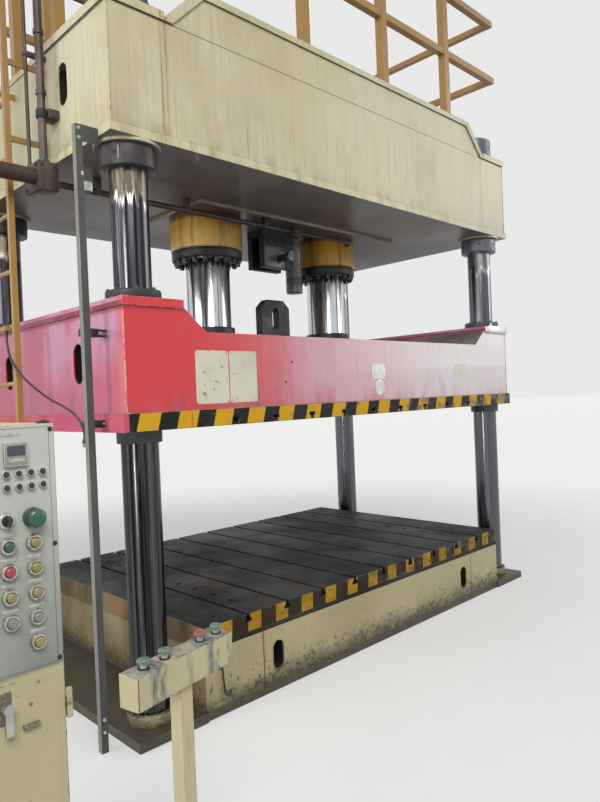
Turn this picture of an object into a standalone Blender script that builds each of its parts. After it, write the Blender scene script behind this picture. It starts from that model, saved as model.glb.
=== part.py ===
"""Four-column hydraulic press with a control cabinet and a two-hand button stand.

Metres, +Z up. The origin is on the floor, midway between the four columns. X runs along the
press, and its front faces -Y. The slide is modelled part way up its stroke.
"""
import math

import bmesh
import bpy
from mathutils import Matrix, Vector

# Fits
SEAT_GAP = 0.0003
ROUND_GAP = 0.0004
TURNING_GAP = 0.0008
BURY = 0.004

# Faces round a circle
COLUMN_SIDES = 20
CYLINDER_SIDES = 24
SMALL_SIDES = 10
PIPE_SIDES = 8
SLOT_END_STEPS = 4

# Bed and bolster
BED_HALF_LENGTH = 1.500
BED_HALF_WIDTH = 1.009
BED_HEIGHT = 0.360
BOLSTER_THICKNESS = 0.125
BOLSTER_TOP = BED_HEIGHT + BOLSTER_THICKNESS
SILL_HEIGHT = 0.050
SLOT_DEPTH = 0.110
BED_SLOT_FROM_END = 0.515
BED_SLOT_X = BED_HALF_LENGTH - BED_SLOT_FROM_END
BED_SLOT_DROP = 0.162
BED_SLOT_Z = BED_HEIGHT - BED_SLOT_DROP
BED_SLOT_WIDTH = 0.088
BED_SLOT_HEIGHT = 0.170

# Tee slots of the bolster and of the slide's plate
TEE_PITCH = 0.300
TEE_END_MARGIN = 0.250
TEE_COUNT_EACH_SIDE = int((BED_HALF_LENGTH - TEE_END_MARGIN) / TEE_PITCH)
TEE_NECK = 0.028
TEE_NECK_DEPTH = 0.022
TEE_HEAD = 0.050
TEE_HEAD_DEPTH = 0.022
PIN_HOLE_R = 0.021
PIN_HOLE_DEPTH = 0.050
PIN_HOLE_FROM_SLOT = 0.100
PIN_HOLE_X = TEE_PITCH * TEE_COUNT_EACH_SIDE - PIN_HOLE_FROM_SLOT
PIN_HOLE_Y = (0.190, 0.370, 0.565, 0.735)

# Columns, clear of the bed's ends and inside its faces
COLUMN_R = 0.096
COLUMN_STANDOFF = 0.121
COLUMN_INSET = 0.085
COLUMN_X = BED_HALF_LENGTH + COLUMN_STANDOFF + COLUMN_R
COLUMN_Y = BED_HALF_WIDTH - COLUMN_INSET - COLUMN_R
COLUMN_FOOT = 0.004
COLUMN_THREAD_END = 0.02
SILL_MARGIN = 0.087
SILL_HALF_LENGTH = COLUMN_X + COLUMN_R + SILL_MARGIN
BASE_COLLAR_WALL = 0.026
BASE_COLLAR_R = COLUMN_R + BASE_COLLAR_WALL
BASE_COLLAR_HEIGHT = 0.055

# Column nuts
LOWER_NUT_WALL = 0.051
LOWER_NUT_R = COLUMN_R + LOWER_NUT_WALL
LOWER_NUT_HEIGHT = 0.110
UPPER_NUT_WALL = 0.039
UPPER_NUT_R = COLUMN_R + UPPER_NUT_WALL
UPPER_NUT_HEIGHT = 0.165
NUT_CHAMFER = 0.006
BOSS_RIM = 0.021
BOSS_R = LOWER_NUT_R + BOSS_RIM
BOSS_HEIGHT = 0.017

# Crown, set on the columns above the bolster
FRAME_OPENING = 2.489
CROWN_BOTTOM = BOLSTER_TOP + FRAME_OPENING
CROWN_END_MARGIN = 0.017
CROWN_HALF_LENGTH = COLUMN_X + BOSS_R + CROWN_END_MARGIN
CROWN_HALF_WIDTH = COLUMN_Y + BOSS_R
CROWN_BOTTOM_PLATE = 0.045
CROWN_OVERHANG = 0.012
CROWN_END_HEIGHT = 0.677
SHOULDER_TOP = CROWN_BOTTOM + CROWN_END_HEIGHT
SHOULDER_PLATE = 0.045
SHOULDER_GAP_HALF_WIDTH = 0.300
NUT_TO_SLANT = 0.007
SHOULDER_INNER_X = COLUMN_X - UPPER_NUT_R - NUT_TO_SLANT
SLANT_RUN = 0.225
SLANT_RISE = 0.201
SLANT_PLATE = 0.053
CROWN_TOP = SHOULDER_TOP + SLANT_RISE
CROWN_TOP_HALF_LENGTH = SHOULDER_INNER_X - SLANT_RUN
CROWN_TOP_PLATE = 0.038
LEDGE_DROP = 0.003
LEDGE_WIDTH = 0.093
LEDGE_DEPTH = 0.120
CROWN_SLOT_Y = 0.498
CROWN_SLOT_RISE = 0.394
CROWN_SLOT_Z = CROWN_BOTTOM + CROWN_SLOT_RISE
CROWN_SLOT_WIDTH = 0.115
CROWN_SLOT_HEIGHT = 0.229

# Main cylinders
SLIDE_UP = 0.450
CYLINDER_X = 0.615
PLUNGER_R = 0.157
PLUNGER_TOP_CLEARANCE = 0.010
PLUNGER_COLLAR_RIM = 0.021
PLUNGER_COLLAR_R = PLUNGER_R + PLUNGER_COLLAR_RIM
PLUNGER_COLLAR_HEIGHT = 0.145
PLUNGER_PLAY = 0.018
CYLINDER_BORE_R = PLUNGER_R + PLUNGER_PLAY
CYLINDER_WALL = 0.040
CYLINDER_NECK_R = CYLINDER_BORE_R + CYLINDER_WALL
BARREL_STEP = 0.040
BARREL_R = CYLINDER_NECK_R + BARREL_STEP
BARREL_DROP = 0.254
BARREL_BOTTOM = CROWN_BOTTOM - BARREL_DROP
CYLINDER_TOP_WALL = 0.040
CYLINDER_TOP_DROP = 0.052
CYLINDER_TOP = CROWN_TOP - CYLINDER_TOP_DROP
PLUNGER_TOP = CYLINDER_TOP - CYLINDER_TOP_WALL - SLIDE_UP - PLUNGER_TOP_CLEARANCE
GLAND_INSET = 0.005
GLAND_R = BARREL_R - GLAND_INSET
GLAND_HEIGHT = 0.065
SEAT_MARGIN_LEFT = 0.040
SEAT_PLATE_LEFT = -(CYLINDER_X + BARREL_R + SEAT_MARGIN_LEFT)
SEAT_MARGIN_RIGHT = 0.240
SEAT_PLATE_RIGHT = CYLINDER_X + BARREL_R + SEAT_MARGIN_RIGHT
SEAT_MARGIN_SIDE = 0.095
SEAT_PLATE_HALF_WIDTH = BARREL_R + SEAT_MARGIN_SIDE
SEAT_PLATE_THICKNESS = 0.020

# Slide, hung so that its lug takes the lock pin at the top of the stroke
LOCK_PIN_DROP = 0.239
LOCK_PIN_Z = CROWN_BOTTOM - LOCK_PIN_DROP
LUG_SLOT_PLAY = 0.090
LUG_SLOT_BOTTOM = LOCK_PIN_Z - SLIDE_UP - LUG_SLOT_PLAY
LUG_SLOT_RISE = 0.162
SLIDE_MIDDLE_TOP = LUG_SLOT_BOTTOM - LUG_SLOT_RISE
SLIDE_DIP = 0.160
SLIDE_TOP = SLIDE_MIDDLE_TOP + SLIDE_DIP
SLIDE_HEIGHT = 0.664
SLIDE_BOTTOM = SLIDE_TOP - SLIDE_HEIGHT
BUSH_WALL = 0.019
BUSH_R = COLUMN_R + BUSH_WALL
BUSH_FLANGE_RIM = 0.026
BUSH_FLANGE_R = BUSH_R + BUSH_FLANGE_RIM
BUSH_FLANGE_HEIGHT = 0.045
BUSH_TAIL = 0.062
BUSH_TO_END = 0.015
BUSH_TO_FACE = 0.012
SLIDE_HALF_LENGTH = COLUMN_X + BUSH_FLANGE_R + BUSH_TO_END
SLIDE_HALF_WIDTH = COLUMN_Y + BUSH_FLANGE_R + BUSH_TO_FACE
SLIDE_PLATE_THICKNESS = 0.090
SLIDE_PLATE_PROUD = 0.016
SLIDE_PLATE_HALF_LENGTH = SLIDE_HALF_LENGTH + SLIDE_PLATE_PROUD
SLIDE_FLANGE = 0.045
SLIDE_OVERHANG = 0.012
BUSH_TO_SLANT = 0.060
SLIDE_FLANGE_INNER_X = COLUMN_X - BUSH_FLANGE_R - BUSH_TO_SLANT
SLIDE_SLANT_RUN = 0.147
SLIDE_MIDDLE_HALF_LENGTH = SLIDE_FLANGE_INNER_X - SLIDE_SLANT_RUN
SLIDE_SLOT_Y = 0.480
SLIDE_SLOT_RISE = 0.362
SLIDE_SLOT_Z = SLIDE_BOTTOM + SLIDE_SLOT_RISE
SLIDE_SLOT_WIDTH = 0.127
SLIDE_SLOT_HEIGHT = 0.224

# Safety lock between slide and crown
LUG_HALF_WIDTH = 0.145
LUG_THICKNESS = 0.070
LUG_HEIGHT = 0.392
LUG_TOP = SLIDE_MIDDLE_TOP + LUG_HEIGHT
LUG_BASE_HEIGHT = 0.028
LUG_BASE_MARGIN = 0.020
LUG_BASE_HALF_LENGTH = LUG_HALF_WIDTH + LUG_BASE_MARGIN
LUG_BASE_SIDE = 0.055
LUG_BASE_HALF_WIDTH = LUG_THICKNESS / 2 + LUG_BASE_SIDE
LUG_CHAMFER = 0.060
LUG_SLOT_HEIGHT = 0.170
LUG_SLOT_TOP = LUG_SLOT_BOTTOM + LUG_SLOT_HEIGHT
LUG_SLOT_WIDTH = 0.070
BRACKET_MARGIN = 0.005
BRACKET_HALF_WIDTH = LUG_HALF_WIDTH + BRACKET_MARGIN
BRACKET_CHEEK = 0.050
BRACKET_CLEARANCE = 0.008
LOCK_PIN_R = 0.028
LOCK_PIN_TRAVEL = 0.130
LOCK_PIN_HEAD_RIM = 0.014
LOCK_PIN_HEAD_R = LOCK_PIN_R + LOCK_PIN_HEAD_RIM
LOCK_PIN_HEAD = 0.020
BRACKET_BELOW_PIN = 0.070
BRACKET_BOTTOM = LOCK_PIN_Z - BRACKET_BELOW_PIN
RAM_R = 0.066
RAM_LENGTH = 0.474
RAM_BOTTOM = CROWN_BOTTOM - RAM_LENGTH
RAM_FLANGE_RIM = 0.022
RAM_FLANGE_R = RAM_R + RAM_FLANGE_RIM
RAM_FLANGE = 0.028
RAM_TO_BRACKET = 0.012
RAM_X = BRACKET_HALF_WIDTH + RAM_FLANGE_R + RAM_TO_BRACKET

# Limit rail and the forked arms that run along it
RAIL_STANDOFF = 0.119
RAIL_X = -CROWN_HALF_LENGTH - RAIL_STANDOFF
RAIL_INSET = 0.118
RAIL_FRONT_Y = -CROWN_HALF_WIDTH + RAIL_INSET
RAIL_FACE = 0.035
RAIL_SIDE = 0.035
RAIL_WALL = 0.005
RAIL_RISE = 0.036
RAIL_TOP = CROWN_BOTTOM + RAIL_RISE
HANGER_DROP = 0.044
RAIL_HANGER_BOTTOM = CROWN_BOTTOM - HANGER_DROP
SWITCH_WIDTH = 0.041
SWITCH_DEPTH = 0.040
SWITCH_HEIGHT = 0.050
SWITCH_DROP = 0.315
SWITCH_BOTTOM = RAIL_TOP - SWITCH_DROP
ARM_REACH = 0.028
ARM_INSET = 0.078
ARM_FRONT_Y = RAIL_FRONT_Y + ARM_INSET
ARM_WIDTH = 0.035
ARM_HEAD = 0.040
ARM_GAP = 0.018
ARM_PRONG = 0.009
UPPER_ARM_DROP = 0.168
UPPER_ARM_Z = SLIDE_TOP - UPPER_ARM_DROP

# Ladder and guard rail
LADDER_STANDOFF = 0.198
LADDER_X = -CROWN_HALF_LENGTH - LADDER_STANDOFF
LADDER_FRONT_Y = -0.270
LADDER_WIDTH = 0.400
STILE = 0.030
RUNG_R = 0.0125
RUNG_PITCH = 0.300
LOWER_STAY_RISE = 0.116
UPPER_STAY_RISE = 0.526
STAY_HEIGHTS = (CROWN_BOTTOM + LOWER_STAY_RISE, CROWN_BOTTOM + UPPER_STAY_RISE)
STAY_HEIGHT = 0.030
RAIL_TUBE = 0.050
POST_TUBE = 0.060
GUARD_HEIGHT = 1.018
GUARD_TOP = CROWN_TOP + GUARD_HEIGHT
GUARD_MIDDLE_HEIGHT = 0.528
GUARD_MIDDLE = CROWN_TOP + GUARD_MIDDLE_HEIGHT
GUARD_SIDE_INSET = 0.056
GUARD_Y = CROWN_HALF_WIDTH - GUARD_SIDE_INSET
GUARD_END_INSET = 0.072
GUARD_X = CROWN_HALF_LENGTH - GUARD_END_INSET
RUNGS_ABOVE_CROWN = 0.350
RUNG_COUNT = int((CROWN_TOP + RUNGS_ABOVE_CROWN) / RUNG_PITCH)
POSTS_PER_SIDE = 4
POST_FIRST_INSET = 0.050
POST_FIRST_X = -CROWN_TOP_HALF_LENGTH + POST_FIRST_INSET
POST_LAST_INSET = 0.250
POST_LAST_X = CROWN_TOP_HALF_LENGTH - POST_LAST_INSET
POST_PITCH = (POST_LAST_X - POST_FIRST_X) / (POSTS_PER_SIDE - 1)
GATE_MARGIN = 0.080

# Pipes at the left end and under the crown
SUPPLY_R = 0.0215
SUPPLY_STANDOFF = 0.066
SUPPLY_X = -CROWN_HALF_LENGTH - SUPPLY_STANDOFF
SUPPLY_TO_LADDER = 0.135
SUPPLY_Y = LADDER_FRONT_Y - SUPPLY_TO_LADDER
SUPPLY_RISE = 0.228
SUPPLY_TOP = CROWN_TOP + SUPPLY_RISE
SUPPLY_LAND_INSET = 0.090
SUPPLY_LAND_X = -CROWN_TOP_HALF_LENGTH + SUPPLY_LAND_INSET
SUPPLY_BEND_R = 0.110
CLAMP_RISE = 0.226
CLAMP_Z = CROWN_BOTTOM + CLAMP_RISE
CLAMP_HEIGHT = 0.040
MANIFOLD_DROP = 0.019
MANIFOLD_TOP = CROWN_BOTTOM - MANIFOLD_DROP
MANIFOLD_HEIGHT = 0.150
MANIFOLD_LENGTH = 0.110
MANIFOLD_OVERHANG = 0.055
MANIFOLD_FRONT_Y = SUPPLY_Y - MANIFOLD_OVERHANG
MANIFOLD_WIDTH = 0.170
SUCTION_R = 0.041
SUCTION_LENGTH = 0.362
SUCTION_END_X = SUPPLY_X - SUCTION_LENGTH
SUCTION_FLANGE_RIM = 0.019
SUCTION_FLANGE_R = SUCTION_R + SUCTION_FLANGE_RIM
SUCTION_FLANGE = 0.018
PILOT_R = 0.010
PILOT_STANDOFF = 0.032
PILOT_X = SUPPLY_X - PILOT_STANDOFF
PILOT_TO_SUPPLY = 0.103
PILOT_Y = SUPPLY_Y + PILOT_TO_SUPPLY
PILOT_RISE = 0.128
PILOT_TOP = CROWN_TOP + PILOT_RISE
PILOT_LAND_GAP = 0.040
PILOT_LAND_X = SUPPLY_LAND_X - PILOT_LAND_GAP
PILOT_CLAMP_DROP = 0.091
PILOT_CLAMP_Z = SHOULDER_TOP - PILOT_CLAMP_DROP
PILOT_CLAMP_HEIGHT = 0.025
CROSS_R = 0.018
CROSS_TO_BARREL = 0.063
CROSS_Y = -BARREL_R - CROSS_TO_BARREL
CROSS_DROP = 0.081
CROSS_Z = CROWN_BOTTOM - CROSS_DROP
CROSS_END_X = -0.080
TEE_BLOCK = 0.070
JUMPER_R = 0.012
HANGER_FROM_COLUMN = 0.097
HANGER_FROM_SEAT = 0.090
HANGER_FROM_TEE = 0.250
HANGER_X = (-COLUMN_X + HANGER_FROM_COLUMN, SEAT_PLATE_LEFT - HANGER_FROM_SEAT,
            CROSS_END_X - HANGER_FROM_TEE)

# Control cabinet
CABINET_LEFT = -3.250
CABINET_WIDTH = 0.345
CABINET_RIGHT = CABINET_LEFT + CABINET_WIDTH
CABINET_FRONT = -2.497
CABINET_DEPTH = 0.297
CABINET_BACK = CABINET_FRONT + CABINET_DEPTH
CABINET_HEIGHT = 1.640
CABINET_WALL = 0.005
CABINET_FRAME = 0.022
CABINET_PLINTH = 0.075
PANEL_THICKNESS = 0.003
PANEL_GAP = 0.003
PANEL_TOP = CABINET_HEIGHT - PANEL_GAP
PANEL_HEIGHT = 0.485
PANEL_BOTTOM = PANEL_TOP - PANEL_HEIGHT
SHELF_Z = PANEL_BOTTOM - PANEL_GAP
DOOR_THICKNESS = 0.018
DOOR_MARGIN = 0.008
DOOR_BOTTOM = CABINET_PLINTH + CABINET_WALL
DOOR_TOP = SHELF_Z - PANEL_GAP
GEAR_PLATE = 0.012
GEAR_ROW_PITCH = 0.250
GEAR_DROP = 0.299
GEAR_TOP_ROW = SHELF_Z - GEAR_DROP
GEAR_ROWS = (GEAR_TOP_ROW - 2 * GEAR_ROW_PITCH, GEAR_TOP_ROW - GEAR_ROW_PITCH, GEAR_TOP_ROW)
GEAR_PER_ROW = 3
GEAR_PITCH = (CABINET_WIDTH - 2 * CABINET_FRAME) / GEAR_PER_ROW
GEAR_WIDTH = 0.060
GEAR_HEIGHT = 0.090
GEAR_DEPTH = 0.075
HINGE_R = 0.0065
HINGE_KNUCKLE = 0.030
LOWER_HINGE_RISE = 0.120
UPPER_HINGE_DROP = 0.106
HINGE_HEIGHTS = (DOOR_BOTTOM + LOWER_HINGE_RISE, DOOR_TOP - UPPER_HINGE_DROP)
LEAF_DEPTH = 0.040
HANDLE_INSET = 0.125
HANDLE_X = CABINET_RIGHT - HANDLE_INSET
HANDLE_DROP = 0.041
HANDLE_Z = DOOR_TOP - HANDLE_DROP
HANDLE_HUB_R = 0.011
HANDLE_LENGTH = 0.050
HANDLE_WIDTH = 0.014

# Buttons on the panel
BUTTON_R = 0.0105
BUTTON_COLLAR_RIM = 0.0025
BUTTON_COLLAR_R = BUTTON_R + BUTTON_COLLAR_RIM
BUTTON_PROUD = 0.0118
BUTTON_COLLAR = 0.004
BEZEL_RIM = 0.0045
BEZEL_R = BUTTON_R + BEZEL_RIM
BEZEL_HEIGHT = 0.0065
BUTTON_INSET = 0.052
COLUMN_OF_BUTTONS_RIGHT = CABINET_RIGHT - BUTTON_INSET
BUTTON_COLUMN_PITCH = 0.051
COLUMN_OF_BUTTONS_LEFT = COLUMN_OF_BUTTONS_RIGHT - BUTTON_COLUMN_PITCH
BUTTON_ROW_DROP = 0.182
BUTTON_TOP_ROW = PANEL_TOP - BUTTON_ROW_DROP
BUTTON_PITCH = 0.0495
LEFT_BUTTONS = 4
RIGHT_BUTTONS = 5
STOP_HEAD_RIM = 0.0085
STOP_HEAD_R = BUTTON_R + STOP_HEAD_RIM
STOP_HEAD_HEIGHT = 0.013
SELECTOR_WING = 0.006
SELECTOR_HEIGHT = 0.018
LAMP_R = 0.008
LAMP_HEIGHT = 0.007
LAMP_INSET = 0.101
LAMP_LEFT = CABINET_RIGHT - LAMP_INSET
LAMP_PITCH = 0.0237
UPPER_LAMP_DROP = 0.092
LOWER_LAMP_DROP = 0.118
LAMP_ROWS = (PANEL_TOP - UPPER_LAMP_DROP, PANEL_TOP - LOWER_LAMP_DROP)
LAMPS_PER_ROW = 4
METER_INSET = 0.081
METER_CENTRE_X = CABINET_RIGHT - METER_INSET
METER_DROP = 0.054
METER_CENTRE_Z = PANEL_TOP - METER_DROP
METER_SIZE = 0.046
METER_HEIGHT = 0.008
METER_WINDOW = (0.034, 0.014)
METER_RIM = 0.003

# Two-hand button stand
STAND_X = -2.530
STAND_Y = -2.132
STAND_TURN = math.radians(12.1)
STAND_LENGTH = 0.421
STAND_WIDTH = 0.080
STAND_HEIGHT = 0.100
STAND_TOP = 0.884
STAND_POST = 0.050
STAND_FOOT = 0.200
STAND_FOOT_THICKNESS = 0.010
PALM_PLACES = (0.060, 0.147, 0.307, 0.386)
PALM_STEM_R = 0.011
PALM_HEAD_R = 0.020
PALM_HEAD_BOTTOM = 0.018
PALM_HEAD_HEIGHT = 0.014
PALM_BORE_DEPTH = 0.040
PALM_TRAVEL = 0.008

# Cable from the ladder to the limit rail
CABLE_R = 0.006
CABLE_GAP = 0.0008
CABLE_ROUTE = (
    (-2.1240, -0.2000, 2.0870), (-2.1240, -0.2000, 2.0400), (-2.1240, -0.2120, 1.9850),
    (-2.1240, -0.2420, 1.9350), (-2.1210, -0.2850, 1.8900), (-2.1150, -0.3350, 1.8500),
    (-2.1080, -0.3900, 1.8130), (-2.1000, -0.4460, 1.7800), (-2.0910, -0.5030, 1.7500),
    (-2.0810, -0.5610, 1.7220), (-2.0700, -0.6190, 1.6970), (-2.0590, -0.6770, 1.6750),
    (-2.0470, -0.7320, 1.6520), (-2.0350, -0.7820, 1.6220), (-2.0250, -0.8180, 1.5810),
    (-2.0190, -0.8340, 1.5330), (-2.0185, -0.8345, 1.4900),
)
CABLE_POINTS = 34
GLAND_BOSS_R = 0.011
GLAND_BOSS_LENGTH = 0.022
CLIP_SIZE = 0.026
CLIP_REACH = 0.037
GLAND_OFFSET = 0.0085

CREAM = ("cream_paint", (0.66, 0.60, 0.40), 0.50, 0.0)
RED = ("red_paint", (0.62, 0.06, 0.06), 0.42, 0.0)
GREY_STEEL = ("machined_steel", (0.20, 0.19, 0.19), 0.55, 0.8)
CHROME = ("hard_chrome", (0.55, 0.55, 0.57), 0.12, 1.0)
OILY_CHROME = ("oiled_column", (0.10, 0.10, 0.11), 0.18, 1.0)
NUT_BLACK = ("blackened_steel", (0.050, 0.042, 0.046), 0.45, 0.6)
OCHRE = ("ochre_paint", (0.55, 0.29, 0.06), 0.40, 0.0)
RAIL_GREEN = ("grey_green_paint", (0.17, 0.19, 0.17), 0.55, 0.1)
LADDER_YELLOW = ("yellow_paint", (0.66, 0.42, 0.13), 0.50, 0.0)
PIPE_BROWN = ("brown_pipe", (0.07, 0.045, 0.045), 0.45, 0.5)
PANEL_GREY = ("panel_grey", (0.62, 0.62, 0.60), 0.45, 0.0)
BUTTON_GREEN = ("green_plastic", (0.02, 0.22, 0.12), 0.35, 0.0)
BUTTON_RED = ("red_plastic", (0.55, 0.03, 0.03), 0.35, 0.0)
BUTTON_GOLD = ("amber_plastic", (0.62, 0.45, 0.12), 0.35, 0.0)
BUTTON_GREY = ("grey_plastic", (0.45, 0.45, 0.43), 0.40, 0.0)
BLACK_PLASTIC = ("black_plastic", (0.02, 0.02, 0.02), 0.40, 0.0)
CABLE_BLACK = ("black_rubber", (0.015, 0.015, 0.015), 0.60, 0.0)


def clear_scene():
    for old in list(bpy.data.objects):
        bpy.data.objects.remove(old, do_unlink=True)


def material(look):
    name, colour, roughness, metallic = look
    found = bpy.data.materials.get(name)
    if found:
        return found
    made = bpy.data.materials.new(name)
    made.use_nodes = True
    shader = made.node_tree.nodes["Principled BSDF"]
    shader.inputs["Base Color"].default_value = (*colour, 1.0)
    shader.inputs["Roughness"].default_value = roughness
    shader.inputs["Metallic"].default_value = metallic
    made.diffuse_color = (*colour, 1.0)
    return made


def as_object(name, bm, look, place=(0, 0, 0), turn=(0, 0, 0), round_piece=False):
    """Make a named object from a bmesh, with faces pointing outwards."""
    bmesh.ops.recalc_face_normals(bm, faces=bm.faces)
    mesh = bpy.data.meshes.new(name)
    bm.to_mesh(mesh)
    bm.free()
    if round_piece:
        mesh.shade_smooth()
        mesh.set_sharp_from_angle(angle=math.radians(35))
    mesh.materials.append(material(look))
    made = bpy.data.objects.new(name, mesh)
    made.location = place
    made.rotation_euler = turn
    bpy.context.collection.objects.link(made)
    return made


def joined(target, bm, operation, tag):
    """Weld to, or cut from, the target the closed bodies held by the bmesh."""
    tool = as_object(f"{target.name}_{tag}", bm, CREAM, target.location, target.rotation_euler)
    tool.hide_render = True
    tool.display_type = "WIRE"
    step = target.modifiers.new(tag, "BOOLEAN")
    step.operation = operation
    step.solver = "EXACT"
    step.object = tool
    return tool


def weld(target, bm, tag):
    return joined(target, bm, "UNION", tag)


def cut(target, bm, tag):
    return joined(target, bm, "DIFFERENCE", tag)


def add_box(bm, low, high):
    """A box between two opposite corners."""
    corners = [bm.verts.new((x, y, z)) for x in (low[0], high[0]) for y in (low[1], high[1])
               for z in (low[2], high[2])]
    for face in ((0, 1, 3, 2), (4, 6, 7, 5), (0, 4, 5, 1), (2, 3, 7, 6), (0, 2, 6, 4), (1, 5, 7, 3)):
        bm.faces.new([corners[i] for i in face])


def add_prism(bm, outline, low, high, axis="y"):
    """Extrude a flat outline along an axis. Its points are the two other coordinates in order."""
    order = {"x": (2, 0, 1), "y": (0, 2, 1), "z": (0, 1, 2)}[axis]

    def point(a, b, t):
        values = (a, b, t)
        return Vector((values[order[0]], values[order[1]], values[order[2]]))

    first = [bm.verts.new(point(a, b, low)) for a, b in outline]
    last = [bm.verts.new(point(a, b, high)) for a, b in outline]
    bm.faces.new(first)
    bm.faces.new(last)
    count = len(outline)
    for i in range(count):
        j = (i + 1) % count
        bm.faces.new((first[i], first[j], last[j], last[i]))


def axis_matrix(axis):
    """Turn local +Z to the named axis."""
    turns = {"z": Matrix(), "x": Matrix.Rotation(math.pi / 2, 4, "Y"),
             "-y": Matrix.Rotation(math.pi / 2, 4, "X")}
    return turns[axis]


def add_turned(bm, profile, centre, sides, axis="z", hollow=False):
    """Turn a profile of (radius, height) points about an axis through the centre.

    A hollow profile is a closed loop. A solid one starts and ends on the axis, which is left out
    of the profile: its first and last rings are capped.
    """
    place = Matrix.Translation(centre) @ axis_matrix(axis)
    rings = []
    for radius, height in profile:
        ring = []
        for i in range(sides):
            angle = 2 * math.pi * (i + 0.5) / sides
            local = Vector((radius * math.cos(angle), radius * math.sin(angle), height))
            ring.append(bm.verts.new(place @ local))
        rings.append(ring)
    pairs = list(zip(rings, rings[1:]))
    if hollow:
        pairs.append((rings[-1], rings[0]))
    for low, high in pairs:
        for i in range(sides):
            j = (i + 1) % sides
            bm.faces.new((low[i], low[j], high[j], high[i]))
    if not hollow:
        bm.faces.new(rings[0])
        bm.faces.new(rings[-1])


def add_rod(bm, radius, low, high, centre, sides, axis="z"):
    add_turned(bm, [(radius, low), (radius, high)], centre, sides, axis)


def bend_points(corners, bend_radius, steps=4):
    """Round the corners of a polyline, for the centre line of a bent pipe."""
    points = [Vector(corners[0])]
    for before, corner, after in zip(corners, corners[1:], corners[2:]):
        corner = Vector(corner)
        back = (Vector(before) - corner).normalized()
        ahead = (Vector(after) - corner).normalized()
        half = back.angle(ahead) / 2
        reach = bend_radius / math.tan(half)
        centre = corner + (back + ahead).normalized() * (bend_radius / math.sin(half))
        start = corner + back * reach - centre
        end = corner + ahead * reach - centre
        turn = start.cross(end)
        angle = start.angle(end)
        for step in range(steps + 1):
            points.append(centre + Matrix.Rotation(angle * step / steps, 3, turn) @ start)
    points.append(Vector(corners[-1]))
    return points


def add_pipe(bm, points, radius, sides):
    """A round bar swept along points, with flat capped ends."""
    points = [Vector(p) for p in points]
    direction = (points[1] - points[0]).normalized()
    side = direction.orthogonal().normalized()
    rings = []
    for index, point in enumerate(points):
        before = points[index - 1] if index else None
        after = points[index + 1] if index + 1 < len(points) else None
        arriving = (point - before).normalized() if before else (after - point).normalized()
        leaving = (after - point).normalized() if after else arriving
        plane_normal = (arriving + leaving).normalized()
        side = (side - arriving * side.dot(arriving)).normalized()
        up = arriving.cross(side)
        ring = []
        for i in range(sides):
            angle = 2 * math.pi * (i + 0.5) / sides
            offset = (side * math.cos(angle) + up * math.sin(angle)) * radius
            offset -= arriving * (offset.dot(plane_normal) / arriving.dot(plane_normal))
            ring.append(bm.verts.new(point + offset))
        rings.append(ring)
    for low, high in zip(rings, rings[1:]):
        for i in range(sides):
            j = (i + 1) % sides
            bm.faces.new((low[i], low[j], high[j], high[i]))
    bm.faces.new(rings[0])
    bm.faces.new(rings[-1])


def oval(centre_a, centre_b, width, height):
    """An upright slot outline with round ends."""
    radius = width / 2
    straight = height / 2 - radius
    points = []
    for rise, start in ((straight, 0.0), (-straight, math.pi)):
        for step in range(SLOT_END_STEPS + 1):
            angle = start + math.pi * step / SLOT_END_STEPS
            points.append((centre_a + radius * math.cos(angle),
                           centre_b + rise + radius * math.sin(angle)))
    return points


def column_places():
    """Name and position of each column, front left first."""
    return [(f"{fore}_{side}", sx * COLUMN_X, sy * COLUMN_Y)
            for fore, sy in (("front", -1), ("rear", 1)) for side, sx in (("left", -1), ("right", 1))]


def tee_places():
    return [TEE_PITCH * i for i in range(-TEE_COUNT_EACH_SIDE, TEE_COUNT_EACH_SIDE + 1)]


def add_tee_slots(bm, face_z, into, half_width):
    """Tee slots that run across a plate. into is -1 for slots cut down, 1 for slots cut up."""
    outer = face_z - into * BURY
    neck = face_z + into * TEE_NECK_DEPTH
    head = neck + into * TEE_HEAD_DEPTH
    for x in tee_places():
        outline = [(x - TEE_NECK / 2, outer), (x - TEE_NECK / 2, neck), (x - TEE_HEAD / 2, neck),
                   (x - TEE_HEAD / 2, head), (x + TEE_HEAD / 2, head), (x + TEE_HEAD / 2, neck),
                   (x + TEE_NECK / 2, neck), (x + TEE_NECK / 2, outer)]
        add_prism(bm, outline, -half_width - BURY, half_width + BURY)


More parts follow.
